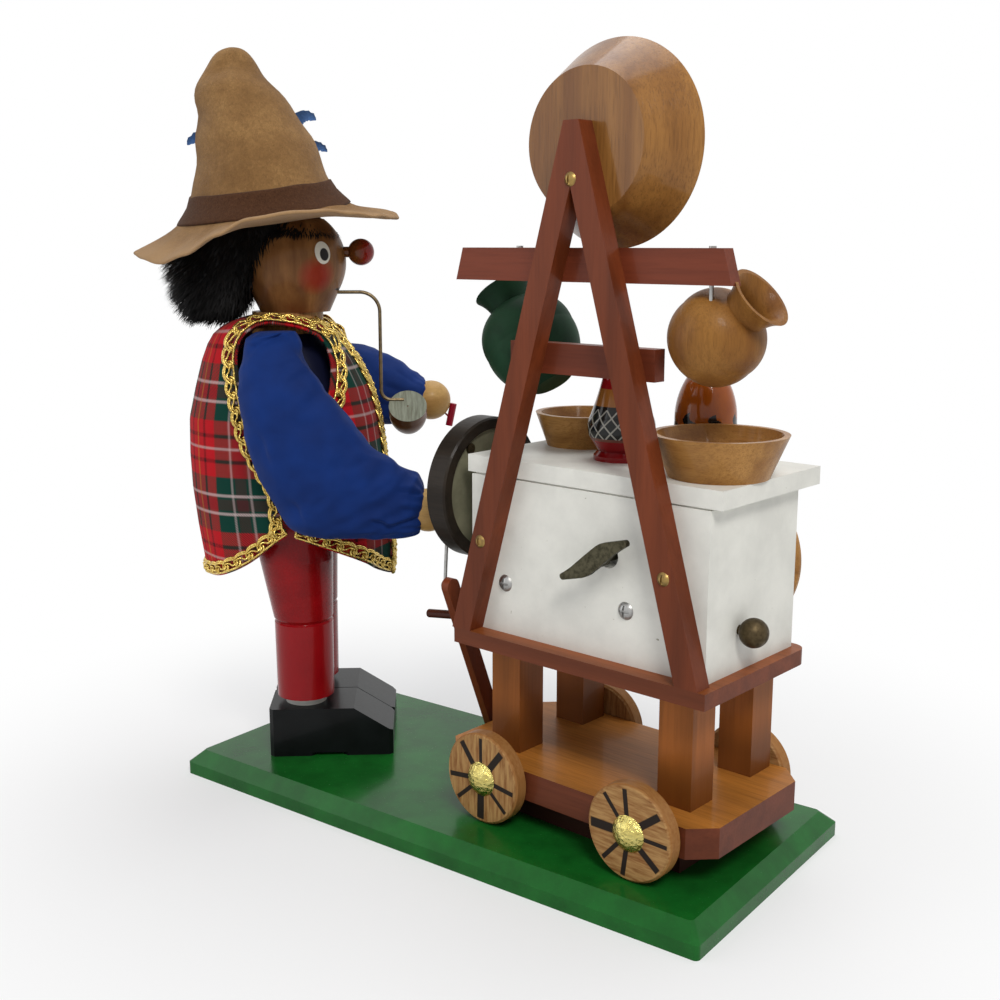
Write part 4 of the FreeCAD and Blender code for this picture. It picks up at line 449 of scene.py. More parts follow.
# Each wheel's place along the cart, and how its grain is stretched
WHEELS = {"near_left": (26.6, (1, 1, 0.12)), "near_right": (100.6, (0.12, 1, 1)),
          "far_left": (26.6, (1, 1, 0.12)), "far_right": (100.6, (0.12, 1, 1))}
HUB_HEIGHT = 30.6
SPOKES_END, TREAD_START = 17.4, 18.6
SPOKE_HALF = 1.2
# The painted faces lie this far from the plane between a near and a far wheel
WHEEL_MIDDLE, WHEEL_FACE = 1, 42.5


def dress_wheels():
    """Pale beech with eight painted spokes, drawn from each wheel's own centre."""
    for side, (x, slope) in WHEELS.items():
        g = Graph("wheel_" + side)
        centre = moved(CART, x, 0, HUB_HEIGHT)
        across, depth, up = g.split(g.local(centre))
        fine = g.noise(g.local(centre, slope), 0.8, 4, 0.6)
        body = g.mix(g.ramp(fine, 0.38, 0.68), rgb(176, 136, 86), rgb(128, 82, 44))
        turn = g.math("ARCTAN2", up, across)
        wobble = g.times(g.math("SINE", g.plus(g.times(turn, 3), x)), 0.13)
        phase = g.math("PINGPONG", g.plus(g.plus(turn, wobble), 8 * pi), pi / 8)
        radius = g.reach(across, up)
        spoke = g.less(1, g.step(g.times(phase, radius), SPOKE_HALF, 0.12))
        inside = g.times(spoke, g.less(1, g.step(radius, SPOKES_END, 0.2)))
        face = g.step(g.math("ABSOLUTE", g.less(depth, WHEEL_MIDDLE)), WHEEL_FACE, 0.6)
        body = g.mix(g.times(inside, face), body, rgb(36, 28, 24))
        body = g.mix(g.times(g.step(radius, TREAD_START, 0.15), 0.7), body, rgb(150, 100, 52))
        g.bump(fine, 0.2, 0.2)
        dress(g.finish(body, 0.45), "cart_wheel_" + side)


def lattice_vase_material():
    """Colours stacked by height, with a band of pale lattice on black."""
    g = Graph("lattice_vase", moved(CART, 60, 3.7, 161))
    x, y, z = g.split(g.home)
    turn = g.math("ARCTAN2", y, x)
    rising, falling = (
        g.math("PINGPONG", g.plus(g.times(turn, 15 / (2 * pi)), g.times(z, slope)), 0.5) for slope in (0.17, -0.17))
    near = g.math("MINIMUM", rising, falling)
    lattice = g.mix(g.step(near, 0.07, 0.02), rgb(170, 168, 158), rgb(26, 28, 26))
    body = red = rgb(136, 16, 20)
    for edge, colour in ((3.4, rgb(120, 20, 24)), (4.8, red), (8.2, rgb(110, 66, 54)), (9.4, lattice),
                         (20.6, rgb(26, 22, 20)), (21.8, rgb(146, 92, 40)), (28.5, red)):
        body = g.mix(g.step(z, edge, 0.12), body, colour)
    g.bump(g.noise(g.home, 0.5, 3, 0.5), 0.06, 0.2)
    return g.finish(body, 0.18, 0.35)


def flame_vase_material():
    """Burnt orange with plain black tongues that lick up from a black foot."""
    g = Graph("flame_vase", moved(CART, 84, 27, 161))
    x, y, z = g.split(g.home)
    turn = g.math("ARCTAN2", y, x)
    bent = g.plus(turn, g.times(g.math("SINE", g.times(z, 0.45)), 0.3))
    tongue = g.math("PINGPONG", g.times(bent, 7 / (2 * pi)), 0.5)
    tip = g.plus(9, g.times(tongue, 16))
    tip = g.plus(tip, g.times(g.noise(g.home, 0.25, 3, 0.6), 5))
    above = g.step(g.less(z, tip), 0, 0.3)
    glow = g.mix(g.noise(g.home, 0.12, 3, 0.5), rgb(178, 96, 24), rgb(134, 58, 14))
    return g.finish(g.mix(above, rgb(18, 12, 10), glow), 0.18, 0.35)


def dress_kitchen_ware():
    bowl = wood("bowl_beech", rgb(178, 130, 70), rgb(144, 98, 48), "x", CART, 0.4, 0.2, 0.9)
    dress(bowl, "bowl_right", "bowl_left", "wall_plate")
    pan = wood("pan_varnish", rgb(160, 112, 56), rgb(118, 74, 32), "z", CART, 0.3, 0.3, 0.8, coarse=0.6)
    dress(pan, "large_pan")
    dress(wood("tan_jug_stain", rgb(150, 104, 50), rgb(120, 76, 34), "z", CART, 0.45, 0.05, 0.7), "tan_jug")
    dress(painted("green_jug_paint", rgb(24, 54, 34), 0.55, 0, mottle=0.14), "green_jug")
    dress(lattice_vase_material(), "lattice_vase")
    dress(flame_vase_material(), "flame_vase")


# The smoker's wood. Heights of the paint's edges, and the place forward where the tool's stick begins
SOCK_TOP = 37.7
SHADED_SHIRT_FOOT, COLLAR_FOOT = 136, 205.5
STICK_START = 67.3
# Cheek, mouth, white of the eye and pupil: centre, half sizes, softness, strength and colour
FACE_SPOTS = (
    ((11.5, 19.5, 231), (7.6, 7.6, 7.2), 0.75, 0.8, rgb(140, 26, 18)),
    ((20.5, 0, 224.9), (7, 8.5, 0.8), 0.1, 1, rgb(48, 28, 22)),
    ((13.6, 17.8, 241.2), (4, 4, 5), 0.06, 1, rgb(226, 222, 208)),
    ((14, 17.3, 240.3), (2.3, 2.3, 2.8), 0.1, 1, rgb(20, 16, 16)),
)


def head_material():
    """Upright grain with the painted mouth, cheeks and eyes."""
    g = Graph("face_wood")
    front, side, up = g.split(g.local(FIGURE))
    stretched = g.local(FIGURE, (1, 1, 0.05))
    fine = g.noise(stretched, 0.9, 4, 0.62)
    broad = g.noise(stretched, 0.12, 3, 0.5, 0.5)
    body = g.mix(g.ramp(broad, 0.35, 0.65), rgb(142, 98, 56), rgb(104, 66, 34))
    body = g.stain(body, rgb(104, 64, 36), 0.4, fine, 0.45, 0.7)
    place = (front, g.math("ABSOLUTE", side), up)
    for centre, size, soft, amount, colour in FACE_SPOTS:
        body = g.mix(g.times(spot(g, place, centre, size, soft), amount), body, colour)
    g.bump(fine, 0.2, 0.2)
    return g.finish(body, 0.42, 0.1)


def spot(g, place, centre, size, soft):
    """1 inside an oval spot and 0 outside it."""
    total = 0
    for axis in range(3):
        part = g.math("DIVIDE", g.less(place[axis], centre[axis]), size[axis])
        total = g.plus(total, g.times(part, part))
    return g.less(1, g.step(total, 1, soft))


def nose_material():
    g = Graph("nose_paint", FIGURE)
    front = g.split(g.home)[0]
    red = g.step(g.plus(front, g.times(g.noise(g.home, 0.25, 3, 0.6), 3)), 31.5, 2.4)
    body = g.mix(g.noise(g.home, 0.5, 4, 0.6), rgb(128, 72, 30), rgb(92, 48, 20))
    body = g.mix(red, body, rgb(138, 24, 18))
    g.bump(g.noise(g.home, 1.2, 3, 0.5), 0.1, 0.2)
    return g.finish(body, 0.25, 0.3)


def dress_smoker():
    dress(painted("trouser_red", rgb(132, 8, 14), 0.26, 0.15, FIGURE, mottle=0.1), "thighs", "hip_block")
    g = Graph("shin_paint", FIGURE)
    paint = g.mix(g.noise(g.home, 0.1, 3, 0.5), rgb(130, 8, 15), rgb(150, 14, 21))
    body = g.mix(g.step(g.split(g.home)[2], SOCK_TOP, 0.1), rgb(214, 212, 204), paint)
    dress(g.finish(body, 0.26, 0.2), "shins")
    dress(painted("shoe_black", rgb(13, 15, 16), 0.3, 0.1, FIGURE, mottle=0.2), "shoes")
    dress(torso_material(), "torso")
    dress(wood("hand_wood", rgb(210, 172, 110), rgb(184, 142, 84), "x", FIGURE, 0.4, 0.08, 0.5), "hands")
    dress(head_material(), "head")
    dress(nose_material(), "nose")
    dress(metal("stem_metal", rgb(120, 104, 78), 0.35, FIGURE, rgb(70, 64, 58), 0.6), "pipe_stem")
    dress(pipe_bowl_material(), "pipe_bowl")
    dress(tool_material(), "hand_tool")


def torso_material():
    """Bare turned wood at the collar, dark blue paint for an undershirt under the vest, darkened as painted shade,
    and red at the waist.
    """
    g = Graph("torso_paint", FIGURE)
    up = g.split(g.home)[2]
    fine = g.noise(g.local(FIGURE, (1, 1, 0.05)), 0.9, 4, 0.62)
    bare = g.mix(g.ramp(fine, 0.4, 0.7), rgb(176, 134, 82), rgb(128, 88, 48))
    cloud = g.noise(g.home, 0.08, 3, 0.5)
    # Painted shade: near-black blue under the vest, where the vest and sleeves leave the torso in shade.
    shaded_shirt = g.mix(cloud, rgb(12, 14, 34), rgb(22, 26, 52))
    red = g.mix(cloud, rgb(128, 12, 19), rgb(148, 18, 25))
    body = g.mix(g.step(up, COLLAR_FOOT, 0.2), g.mix(g.step(up, SHADED_SHIRT_FOOT, 0.2), red, shaded_shirt), bare)
    g.bump(fine, 0.15, 0.2)
    return g.finish(body, 0.45, 0.05)


def pipe_bowl_material():
    """Varnished brown wood with a bare, greyed end face."""
    g = Graph("pipe_wood")
    bowl = moved(FIGURE, 49.5, -2.6, 171.4) @ Matrix.Rotation(radians(47), 4, "X")
    place_mm = g.local(bowl)
    up = g.split(place_mm)[2]
    fine = g.noise(g.local(bowl, (0.2, 1, 1)), 0.9, 4, 0.6)
    brown = g.mix(fine, rgb(122, 76, 42), rgb(78, 46, 26))
    grain = g.noise(g.local(bowl, (1, 0.12, 1)), 0.8, 3, 0.6)
    grey = g.mix(g.ramp(grain, 0.35, 0.65), rgb(146, 152, 136), rgb(112, 114, 98))
    g.bump(g.noise(place_mm, 1, 3, 0.5), 0.1, 0.2)
    return g.finish(g.mix(g.step(up, -0.15, 0.1), brown, grey), 0.38, 0.25)


def tool_material():
    """Bright wire up to a red-painted stick."""
    g = Graph("tool_paint")
    front = g.split(g.local(FIGURE))[0]
    grain = g.noise(g.local(FIGURE, (1, 1, 0.1)), 1.5, 3, 0.5)
    red = g.mix(grain, rgb(176, 24, 50), rgb(140, 16, 38))
    on_stick = g.step(front, STICK_START, 0.1)
    return g.finish(g.mix(on_stick, rgb(130, 126, 120), red), 0.35, 0.2)


# Felt hat, ribbon and feathers

def felt_material():
    """Brushed felt: matted fibres, worn patches and small pills, with a painted highlight towards the brim's edge.
    """
    g = Graph("felt", FIGURE)
    fibre = g.noise(g.local(FIGURE, (1, 1, 0.55)), 1.3, 6, 0.75, 1.6)
    coarse = g.noise(g.home, 0.42, 5, 0.7, 0.8)
    cloud = g.noise(g.home, 0.05, 4, 0.6)
    body = g.mix(g.ramp(cloud, 0.35, 0.68), rgb(162, 124, 78), rgb(134, 99, 60))
    body = g.stain(body, rgb(104, 76, 46), 0.35, coarse, 0.42, 0.66)
    body = g.stain(body, rgb(88, 62, 38), 0.5, fibre, 0.42, 0.68)
    light = g.times(g.ramp(fibre, 0.25, 0.4, 1, 0), 0.3)
    body = g.mix(light, body, rgb(198, 164, 120))
    # Painted highlight: the felt turns lighter towards the brim's edge, beyond this reach.
    reach = g.reach(*g.split(g.local(HAT))[0:2])
    rim = g.times(g.step(reach, 46, 7), 0.4)
    body = g.mix(rim, body, rgb(196, 162, 124))
    g.bump(g.plus(fibre, g.times(coarse, 1.5)), 0.6, 0.5)
    return g.finish(body, 0.95, sheen=0.1, shine=0.1)


# How far the wavy brim's rim stands above its plane, every fifteen degrees from the back round the near side
RIM_LIFT = (-1.3, 0.2, -1.5, -3.6, -0.8, 5, 10.2, 11.3, 9.5, 6.8, 3.6, 1.2,
            0, 1.4, 2.6, 4, 5.2, 6, 6, 4.6, 2.4, 0.2, -1.4, -1.8)

CROWN_ROWS = (
    # half front, half side, height, lean back
    (20, 20, 4.5, 0), (34, 34, 5.4, 0), (47, 46, 1.6, 0), (57.8, 54.3, -1.5, 0), (59.6, 56, -1.3, 0),
    (59.5, 55.9, -0.1, 0), (58, 54.4, 0.4, 0), (48, 46.5, 3.6, 0), (41, 40.6, 6.6, 0), (37.6, 37.4, 9, 0),
    (34, 33.8, 13, 0), (30.6, 30.4, 19, 0), (28.9, 28.7, 25, -0.3), (26.8, 26.4, 33, -0.5),
    (25.2, 24.6, 39, 0), (23.4, 22.6, 45, 0.6), (20.4, 19.6, 53.5, 1.8), (18, 17, 59, 3),
    (15.4, 14.4, 64.5, 4.2), (13.4, 11.8, 68, 4.8), (11.4, 9.6, 71, 4.8), (9.4, 7.4, 74, 4.3),
    (7.4, 5.4, 76.8, 3.6), (5, 3.4, 78.6, 3.2), (2.4, 1.7, 79.4, 3), (0.02, 0.02, 79.6, 3),
)


# Dents of the felt: turn, height, reach, width in radians and depth
CROWN_DENTS = (
    (-1.9, 70.5, 2.4, 0.9, 2.6), (-0.9, 61, 2.6, 0.7, 1.6), (-2.5, 55, 3.4, 0.8, 2), (-1.2, 46, 3, 0.6, 1.3),
    (-2.3, 36, 3.2, 0.7, 1.5), (-0.5, 40, 3, 0.6, 1.4), (1, 58, 3, 0.8, 2), (2, 44, 3.5, 0.8, 1.8),
)


# The rows that form the brim, and the heights that its swell and the crown's creases grow from
BRIM_ROWS = 10
SWELL_START, CREASE_START, CROWN_TOP = 20, 24, 80


def rim_lift(turn):
    """The brim's lift at a turn, smoothed between the table's steps."""
    count = len(RIM_LIFT)
    place = (degrees(turn) + 180) % 360 / (360 / count)
    low = int(place) % count
    share = soft_step(place - int(place))
    return RIM_LIFT[low] * (1 - share) + RIM_LIFT[(low + 1) % count] * share


def crown_swell(turn, height):
    """How far the crown's slack creases and dents push the felt out."""
    fade = min((height - CREASE_START) / 16, 1) * min((CROWN_TOP - height) / 10, 1)
    swell = fade * 1.1 * sin(height * 0.33 + 1.7 * sin(turn + 0.7) + 1)
    for centre, level, reach, wide, depth in CROWN_DENTS:
        off = atan2(sin(turn - centre), cos(turn - centre))
        swell -= depth * exp(-(off / wide) ** 2 - ((height - level - 4 * off) / reach) ** 2)
    return swell


def build_hat():
    """One pressed felt shape: under-brim, rim, wavy brim, crown and its creased top."""
    around = 160
    points = []
    for number, (front, side, height, lean) in enumerate(CROWN_ROWS):
        for turn in ring_turns(around):
            x, y, z = front * cos(turn) - lean, side * sin(turn), height
            swell = noise.noise(Vector((x, y, z)) * 0.04) * 1.4
            if number < BRIM_ROWS:
                share = min(max((front - 35) / 22, 0), 1)
                z += rim_lift(turn) * soft_step(share) + swell * 0.5 * share
                swell = 0
            swell *= min(max((height - SWELL_START) / 8, 0), 1)
            if height > CREASE_START:
                swell += crown_swell(turn, height)
            reach = max(hypot(x + lean, y), 0.5)
            points.append((x + (x + lean) / reach * swell, y + y / reach * swell, z))
    hat = mesh_piece("felt_hat", points, grid_faces(len(CROWN_ROWS), around), HAT, felt_material(), UPPER)
    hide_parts("hat")
    subdivide(hat)


# The ribbon's radius at each height
RIBBON_ROWS = ((37.8, 8.6), (37.2, 9.5), (34.8, 12.2), (32.5, 15.2), (31.1, 18.4), (30.6, 19.6), (29.8, 19.8))


def build_band():
    """A ribbon that follows the crown."""
    g = Graph("ribbon")
    fuzz = g.noise(g.local(HAT, (1, 1, 0.6)), 1.5, 5, 0.7, 1)
    coarse = g.noise(g.local(HAT), 0.5, 4, 0.65)
    body = g.mix(g.ramp(fuzz, 0.35, 0.68), rgb(84, 54, 36), rgb(46, 28, 20))
    body = g.mix(g.times(coarse, 0.35), body, rgb(104, 72, 48))
    g.bump(g.plus(fuzz, coarse), 0.6, 0.5)
    material = g.finish(body, 0.95, sheen=0.05, shine=0.1)
    around = 128
    points = []
    for radius, height in RIBBON_ROWS:
        for turn in ring_turns(around):
            c, s = cos(turn), sin(turn)
            wave = noise.noise(Vector((c * 2, s * 2, height * 0.05))) * 0.9
            out = radius + 1 + wave * 0.3
            points.append((c * out, s * out, height + wave))
    band = mesh_piece("ribbon", points, grid_faces(len(RIBBON_ROWS), around), HAT, material, UPPER)
    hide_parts("hat_band")
    thicken(band, 0.0006)


# Where the feathers are stuck in, and of each its bend, its tip and its half width
FEATHER_ROOT = Vector((-15, 33.5, 269))
FEATHERS = (
    ((-3, 31, 311), (9, 20.5, 300.5), 4), ((3, 30, 297), (13.8, 20.5, 286.5), 3.4),
    ((-38, 30, 305), (-49.5, 17.5, 289), 3.8), ((-13, 33, 296), (-22, 26, 309), 4.2),
)


def build_feathers():
    """A fan of blue feathers behind the crown, on its far side."""
    g = Graph("feather")
    barb = g.noise(g.local(HAT, (1, 1, 0.3)), 1.3, 4, 0.6)
    g.bump(barb, 0.4, 0.3)
    material = g.finish(g.mix(barb, rgb(88, 132, 190), rgb(40, 74, 130)), 0.6, sheen=0.2)
    points, faces = [], []
    rows, root = 26, FEATHER_ROOT
    for bend, tip, wide in FEATHERS:
        bend, tip, base = Vector(bend), Vector(tip), len(points)
        for row in range(rows + 1):
            share = row / rows
            middle = root.lerp(bend, share).lerp(bend.lerp(tip, share), share)
            ahead = (bend - root).lerp(tip - bend, share).normalized()
            side = ahead.cross(Vector((0, 1, 0.2))).normalized()
            leaf = min(share / 0.3, 1) ** 0.8 * max(sin(pi * min(0.5 + 0.48 * share, 0.99)), 0.03) ** 0.4
            for column in range(-3, 4):
                nick = 0.3 * sin(share * 75 + column * 1.7)
                points.append(middle + side * (wide * leaf * column / 3 + nick * abs(column) / 3)
                              - ahead * (0.5 * abs(column)) + Vector((0, 0.35 - 0.1 * column * column, 0)))
        faces += [tuple(base + corner for corner in face) for face in grid_faces(rows + 1, 7, False)]
    mesh_piece("feathers", points, faces, FIGURE, material, UPPER)


HAIR_ROWS = (
    # height, back, front, half width
    (214.5, -44, -30, 15), (217, -47.5, -26, 20), (221, -50.5, -22.5, 23.5), (226, -53, -19.5, 25.5),
    (232, -54.5, -16, 26.5), (238, -55, -12, 27), (244, -54.5, -7, 26.5), (249, -52, -2, 25.5), (255, -46, 3, 23),
)

SKULL, SKULL_RADIUS = Vector((-1, 0, 237)), 23.3
PAD_LOCKS, FRINGE_LOCKS = 8200, 2600


def build_hair():
    """Fur: a dark pad under thousands of short locks."""
    g = Graph("fur")
    strand = g.noise(g.local(FIGURE, (1, 1, 0.25)), 1.4, 4, 0.65)
    body = g.mix(strand, rgb(7, 7, 8), rgb(20, 18, 18))
    g.bump(strand, 0.5, 0.4)
    material = g.finish(body, 0.55, shine=0.2)
    rows, around = len(HAIR_ROWS), 72
    points = []
    for height, back, front, half in HAIR_ROWS:
        middle, reach = (back + front) / 2, (front - back) / 2
        for turn in ring_turns(around):
            x = middle + reach * cos(turn)
            y = half * squared(sin(turn), 0.85)
            swell = 1 + 0.05 * noise.noise(Vector((x, y, height)) * 0.09)
            points.append((middle + (x - middle) * swell, y * swell, height))
    pad = mesh_piece("fur_pad", points, tube_faces(points, around), FIGURE, material, UPPER)
    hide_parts("hair")
    build_locks(points, rows, around, material)


def build_locks(pad_points, rows, around, material):
    """Tapered locks that grow out of the pad and fall down and back, and a fringe under the brim."""
    rng = random.Random(11)
    roots = []
    for _ in range(PAD_LOCKS):
        row = rng.randrange(0, rows - 1)
        column = rng.randrange(around)
        low, high = (Vector(pad_points[(row + up) * around + column]) for up in (0, 1))
        root = low.lerp(high, rng.random())
        outward = Vector((root.x + 28, root.y, 0)).normalized()
        if (root - SKULL).length > 22.5:
            roots.append((root, outward, rng.uniform(4.5, 8.5)))
    for _ in range(FRINGE_LOCKS):
        turn = rng.uniform(-2.2, 2.2)
        outward = Vector((cos(turn), sin(turn), 0))
        height = rng.uniform(249.5, 258)
        around_head = sqrt(SKULL_RADIUS ** 2 - (height - SKULL.z) ** 2)
        root = Vector((SKULL.x, 0, height)) + outward * (around_head + 0.8)
        roots.append((root, outward, rng.uniform(2.5, 5)))
    points, faces = [], []
    for root, outward, length in roots:
        loose = Vector((rng.uniform(-0.25, 0.25), rng.uniform(-0.25, 0.25), rng.uniform(-0.2, 0.2)))
        fall = (outward * 0.5 + Vector((-0.3, 0, -0.85)) + loose).normalized()
        side = fall.cross(outward).normalized()
        width = rng.uniform(0.2, 0.45)
        base = len(points)
        for share, narrow in ((0, 1), (0.5, 0.8), (1, 0.08)):
            middle = root - outward * 1.2 + fall * length * share + outward * (1.2 * sin(share * 2.2))
            points += [middle - side * width * narrow, middle + side * width * narrow]
        faces += [(base, base + 1, base + 3, base + 2), (base + 2, base + 3, base + 5, base + 4)]
    locks = mesh_piece("fur_locks", points, faces, FIGURE, material, UPPER)


# Vest, braid and sleeves

# The sett's width, and where its first red band starts on the cloth, in millimetres round it and up it
TARTAN_REPEAT = 49.5
TARTAN_SHIFT = (301.3, 53.4)


def tartan_material():
    """Red sett with green checks and black, paired white and thin yellow lines, on the cloth's own threads."""
    g = Graph("tartan")
    cloth = g.node("UVMap", uv_map="cloth").outputs[0]
    across, up = g.split(cloth)[0:2]
    warp, weft = (g.math("FRACT", g.math("DIVIDE", value, TARTAN_REPEAT)) for value in (across, up))
    red, green, black = rgb(190, 22, 32), rgb(8, 58, 48), rgb(14, 10, 14)
    white, yellow = rgb(204, 182, 180), rgb(190, 122, 40)

    def stripe(value, low, high):
        return g.times(g.step(value, low, 0.006), g.less(1, g.step(value, high, 0.006)))

    def bands(value):
        colour = g.mix(stripe(value, 0.5, 0.999), red, green)
        for low, high in ((0.12, 0.155), (0.345, 0.38)):
            colour = g.mix(g.times(stripe(value, low, high), 0.9), colour, black)
        return g.mix(g.times(stripe(value, 0.7, 0.8), 0.7), colour, mixed)

    mixed = rgb(84, 24, 32)
    upright, level = bands(warp), bands(weft)
    threads = g.math("FRACT", g.times(g.plus(across, up), 0.85))
    weave = g.step(threads, 0.5, 0.2)
    body = g.mix(weave, upright, level)
    for value, low, high, colour, amount in (
        (weft, 0.655, 0.68, white, 0.85), (weft, 0.82, 0.845, white, 0.85), (weft, 0.24, 0.262, white, 0.7),
        (warp, 0.24, 0.262, yellow, 0.7), (warp, 0.66, 0.68, white, 0.5), (warp, 0.82, 0.84, white, 0.5),
    ):
        on_top = weave if value is weft else g.less(1, weave)
        laid = g.times(g.plus(0.45, g.times(on_top, 0.55)), amount)
        body = g.mix(g.times(stripe(value, low, high), laid), body, colour)
    fuzz = g.noise(cloth, 2.2, 3, 0.6)
    body = g.mix(g.times(fuzz, 0.18), body, black)
    g.bump(g.plus(g.times(threads, 0.5), fuzz), 0.3, 0.25)
    return g.finish(body, 0.9, sheen=0.03, shine=0.12)


VEST_ROWS = [
    # height, middle front, half front, half side
    (92, -2.6, 41.5, 39), (104, -3.2, 43, 40), (120, -4.6, 43.8, 40.3), (137, -5.8, 44.2, 40.3),
    (152, -6.4, 43.9, 40.3), (168, -7.2, 42.6, 40), (182, -7.4, 39, 39.5), (194, -8.6, 34.4, 38.6),
    (201, -9.6, 30.6, 37.6), (205.5, -10, 27.4, 35.8), (208.6, -10, 23.8, 31), (210.4, -10, 20.6, 24.6),
    (211.4, -10, 17.8, 18),
]
# The radius by which turns become lengths of cloth, and how square a ring of the vest is
VEST_RADIUS = 41.5
VEST_SQUARE = 0.86


def along(table, value):
    """A number read from a table of steps, with straight runs between them."""
    value = min(max(value, table[0][0]), table[-1][0])
    for low, high in zip(table, table[1:]):
        if value <= high[0]:
            return low[1] + (high[1] - low[1]) * (value - low[0]) / (high[0] - low[0])
    return table[-1][1]


def vest_shape(height):
    """The vest's middle and half widths at a height."""
    return [along([(row[0], row[number]) for row in VEST_ROWS], height) for number in (1, 2, 3)]


def vest_point(turn, height):
    """A point of the cloth. Turn 0 is the front and a quarter turn the far side."""
    middle, half_front, half_side = vest_shape(height)
    low = max(0, (150 - height) / 58)
    fold = low * (1.5 * sin(5 * turn + 0.8) + 0.9 * sin(9 * turn + 2))
    c, s = cos(turn), sin(turn)
    x = (half_front + fold) * squared(c, VEST_SQUARE)
    y = (half_side + fold) * squared(s, VEST_SQUARE)
    lift = 2.4 * max(0, min(1, (height - 198) / 10)) * s * s
    return Vector((middle + x, y, height + lift))


def panel(name, start, end, low_edge, material, cut=0):
    """A panel of the vest between two turns, whose lower edge may rise and fall."""
    columns, rows = 48, 64
    points, uv = [], []
    for row in range(rows + 1):
        level = 1 - (1 - row / rows) ** 1.5
        for column in range(columns + 1):
            share = column / columns
            bottom = low_edge(share)
            height = bottom + (VEST_ROWS[-1][0] - bottom) * level
            turn = start(height) + (end(height) - start(height)) * share
            points.append(vest_point(turn, height))
            uv.append((turn * VEST_RADIUS + TARTAN_SHIFT[0], height + TARTAN_SHIFT[1] + cut))
    return mesh_piece(name, points, grid_faces(rows + 1, columns + 1, False), FIGURE, material, UPPER, uv)


# The turns of the vest's edges at each height: behind the arm, before the arm and down the front
BACK_EDGE = ((92, 1.6), (118, 1.56), (139, 1.55), (148, 1.63), (161, 1.76), (172, 1.82), (181, 1.88), (190, 1.93),
             (198, 1.96), (203, 1.93), (206.4, 1.84), (208.6, 1.7), (209.3, 1.57))
FRONT_EDGE = ((92, 1.5), (125, 1.5), (140, 1.44), (155, 1.34), (168, 1.18), (179.5, 1.02), (184.5, 0.94),
              (191, 0.83), (197, 0.74), (201.5, 0.68), (205, 0.74), (207.4, 0.98), (208.6, 1.25), (209.3, 1.57))
NECK_EDGE = ((92, 0.035), (196, 0.045), (204, 0.09), (208.5, 0.16), (211.4, 0.3))


back_edge, front_edge, neck_edge = (partial(along, table) for table in (BACK_EDGE, FRONT_EDGE, NECK_EDGE))


# How much lower on the cloth the fronts are cut than the back
FRONT_CUT = -13


def build_vest():
    material = tartan_material()
    panels = [
        panel("vest_back", back_edge, lambda h: 2 * pi - back_edge(h), back_hem, material),
        panel("vest_front_far", neck_edge, front_edge, front_hem, material, FRONT_CUT),
        panel("vest_front_near", lambda h: -front_edge(h), lambda h: -neck_edge(h), lambda s: front_hem(1 - s),
              material, FRONT_CUT),
    ]
    for piece in panels:
        thicken(piece, 0.0011).offset = -1
    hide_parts("vest")


BACK_HEM, BACK_HEM_RISE = 96.8, 22
FRONT_HEM, FRONT_HEM_RISE = 92, 25.5


def back_hem(share):
    """The hem of the back, high at both side slits and low in the middle."""
    return BACK_HEM + BACK_HEM_RISE * abs(2 * share - 1) ** 3.4


def front_hem(share):
    """The slanting hem of a front panel, from its front corner to its side slit."""
    return FRONT_HEM + FRONT_HEM_RISE * share ** 1.1


def tube(name, line, radius, material, sides=6):
    """A round thread along a line of points."""
    points = []
    previous = Vector((0, 0, 1))
    for index, centre in enumerate(line):
        ahead = (line[min(index + 1, len(line) - 1)] - line[max(index - 1, 0)]).normalized()
        side = previous - ahead * previous.dot(ahead)
        side = side.normalized() if side.length > 0.01 else ahead.orthogonal().normalized()
        previous = side
        other = ahead.cross(side)
        points += [centre + (side * cos(turn) + other * sin(turn)) * radius for turn in ring_turns(sides)]
    mesh_piece(name, points, tube_faces(points, sides), FIGURE, material, UPPER)


def gold_material():
    g = Graph("gold_braid")
    twist = g.noise(g.local(FIGURE), 1.8, 3, 0.6)
    g.bump(twist, 0.5, 0.3)
    return g.finish(g.mix(g.ramp(twist, 0.4, 0.62), rgb(232, 206, 120), rgb(166, 130, 50)),
                    0.24, metallic=0.85)


class Edge:
    """An edge of the cloth that can be asked for its place at a length along it."""

    def __init__(self, points):
        self.points = points
        self.lengths = list(accumulate(((b - a).length for a, b in zip(points, points[1:])), initial=0))
        self.total = self.lengths[-1]

    def at(self, length):
        length = min(max(length, 0), self.total - 0.001)
        index = next(k for k, reach in enumerate(self.lengths[1:]) if reach > length)
        first, last = self.points[index], self.points[index + 1]
        share = (length - self.lengths[index]) / max(self.lengths[index + 1] - self.lengths[index], 1e-6)
        place = first.lerp(last, share)
        return place, (last - first).normalized(), outward_at(place)


def outward_at(point):
    """The cloth's outward direction, which turns upwards over the shoulder."""
    middle = vest_shape(point.z)[0]
    rise = max(0, (point.z - 200) / 8)
    return Vector((point.x - middle, point.y, rise * rise * 30)).normalized()


# One loop's length, the points along it and the cord's radius. Each thread: how far it loops across and along the
# edge, its distance from the edge, its lift off the cloth, its lag and its radius
BRAID_PITCH, BRAID_STEPS, BRAID_CORE = 6.4, 20, 0.55
BRAID_THREADS = ((2.5, 2.9, 2.9, 0.9, 0, 0.62), (1.7, 2.4, 3, 1.3, 0.4, 0.52), (0.9, 0, 2.6, 1.6, 1.3, 0.45))


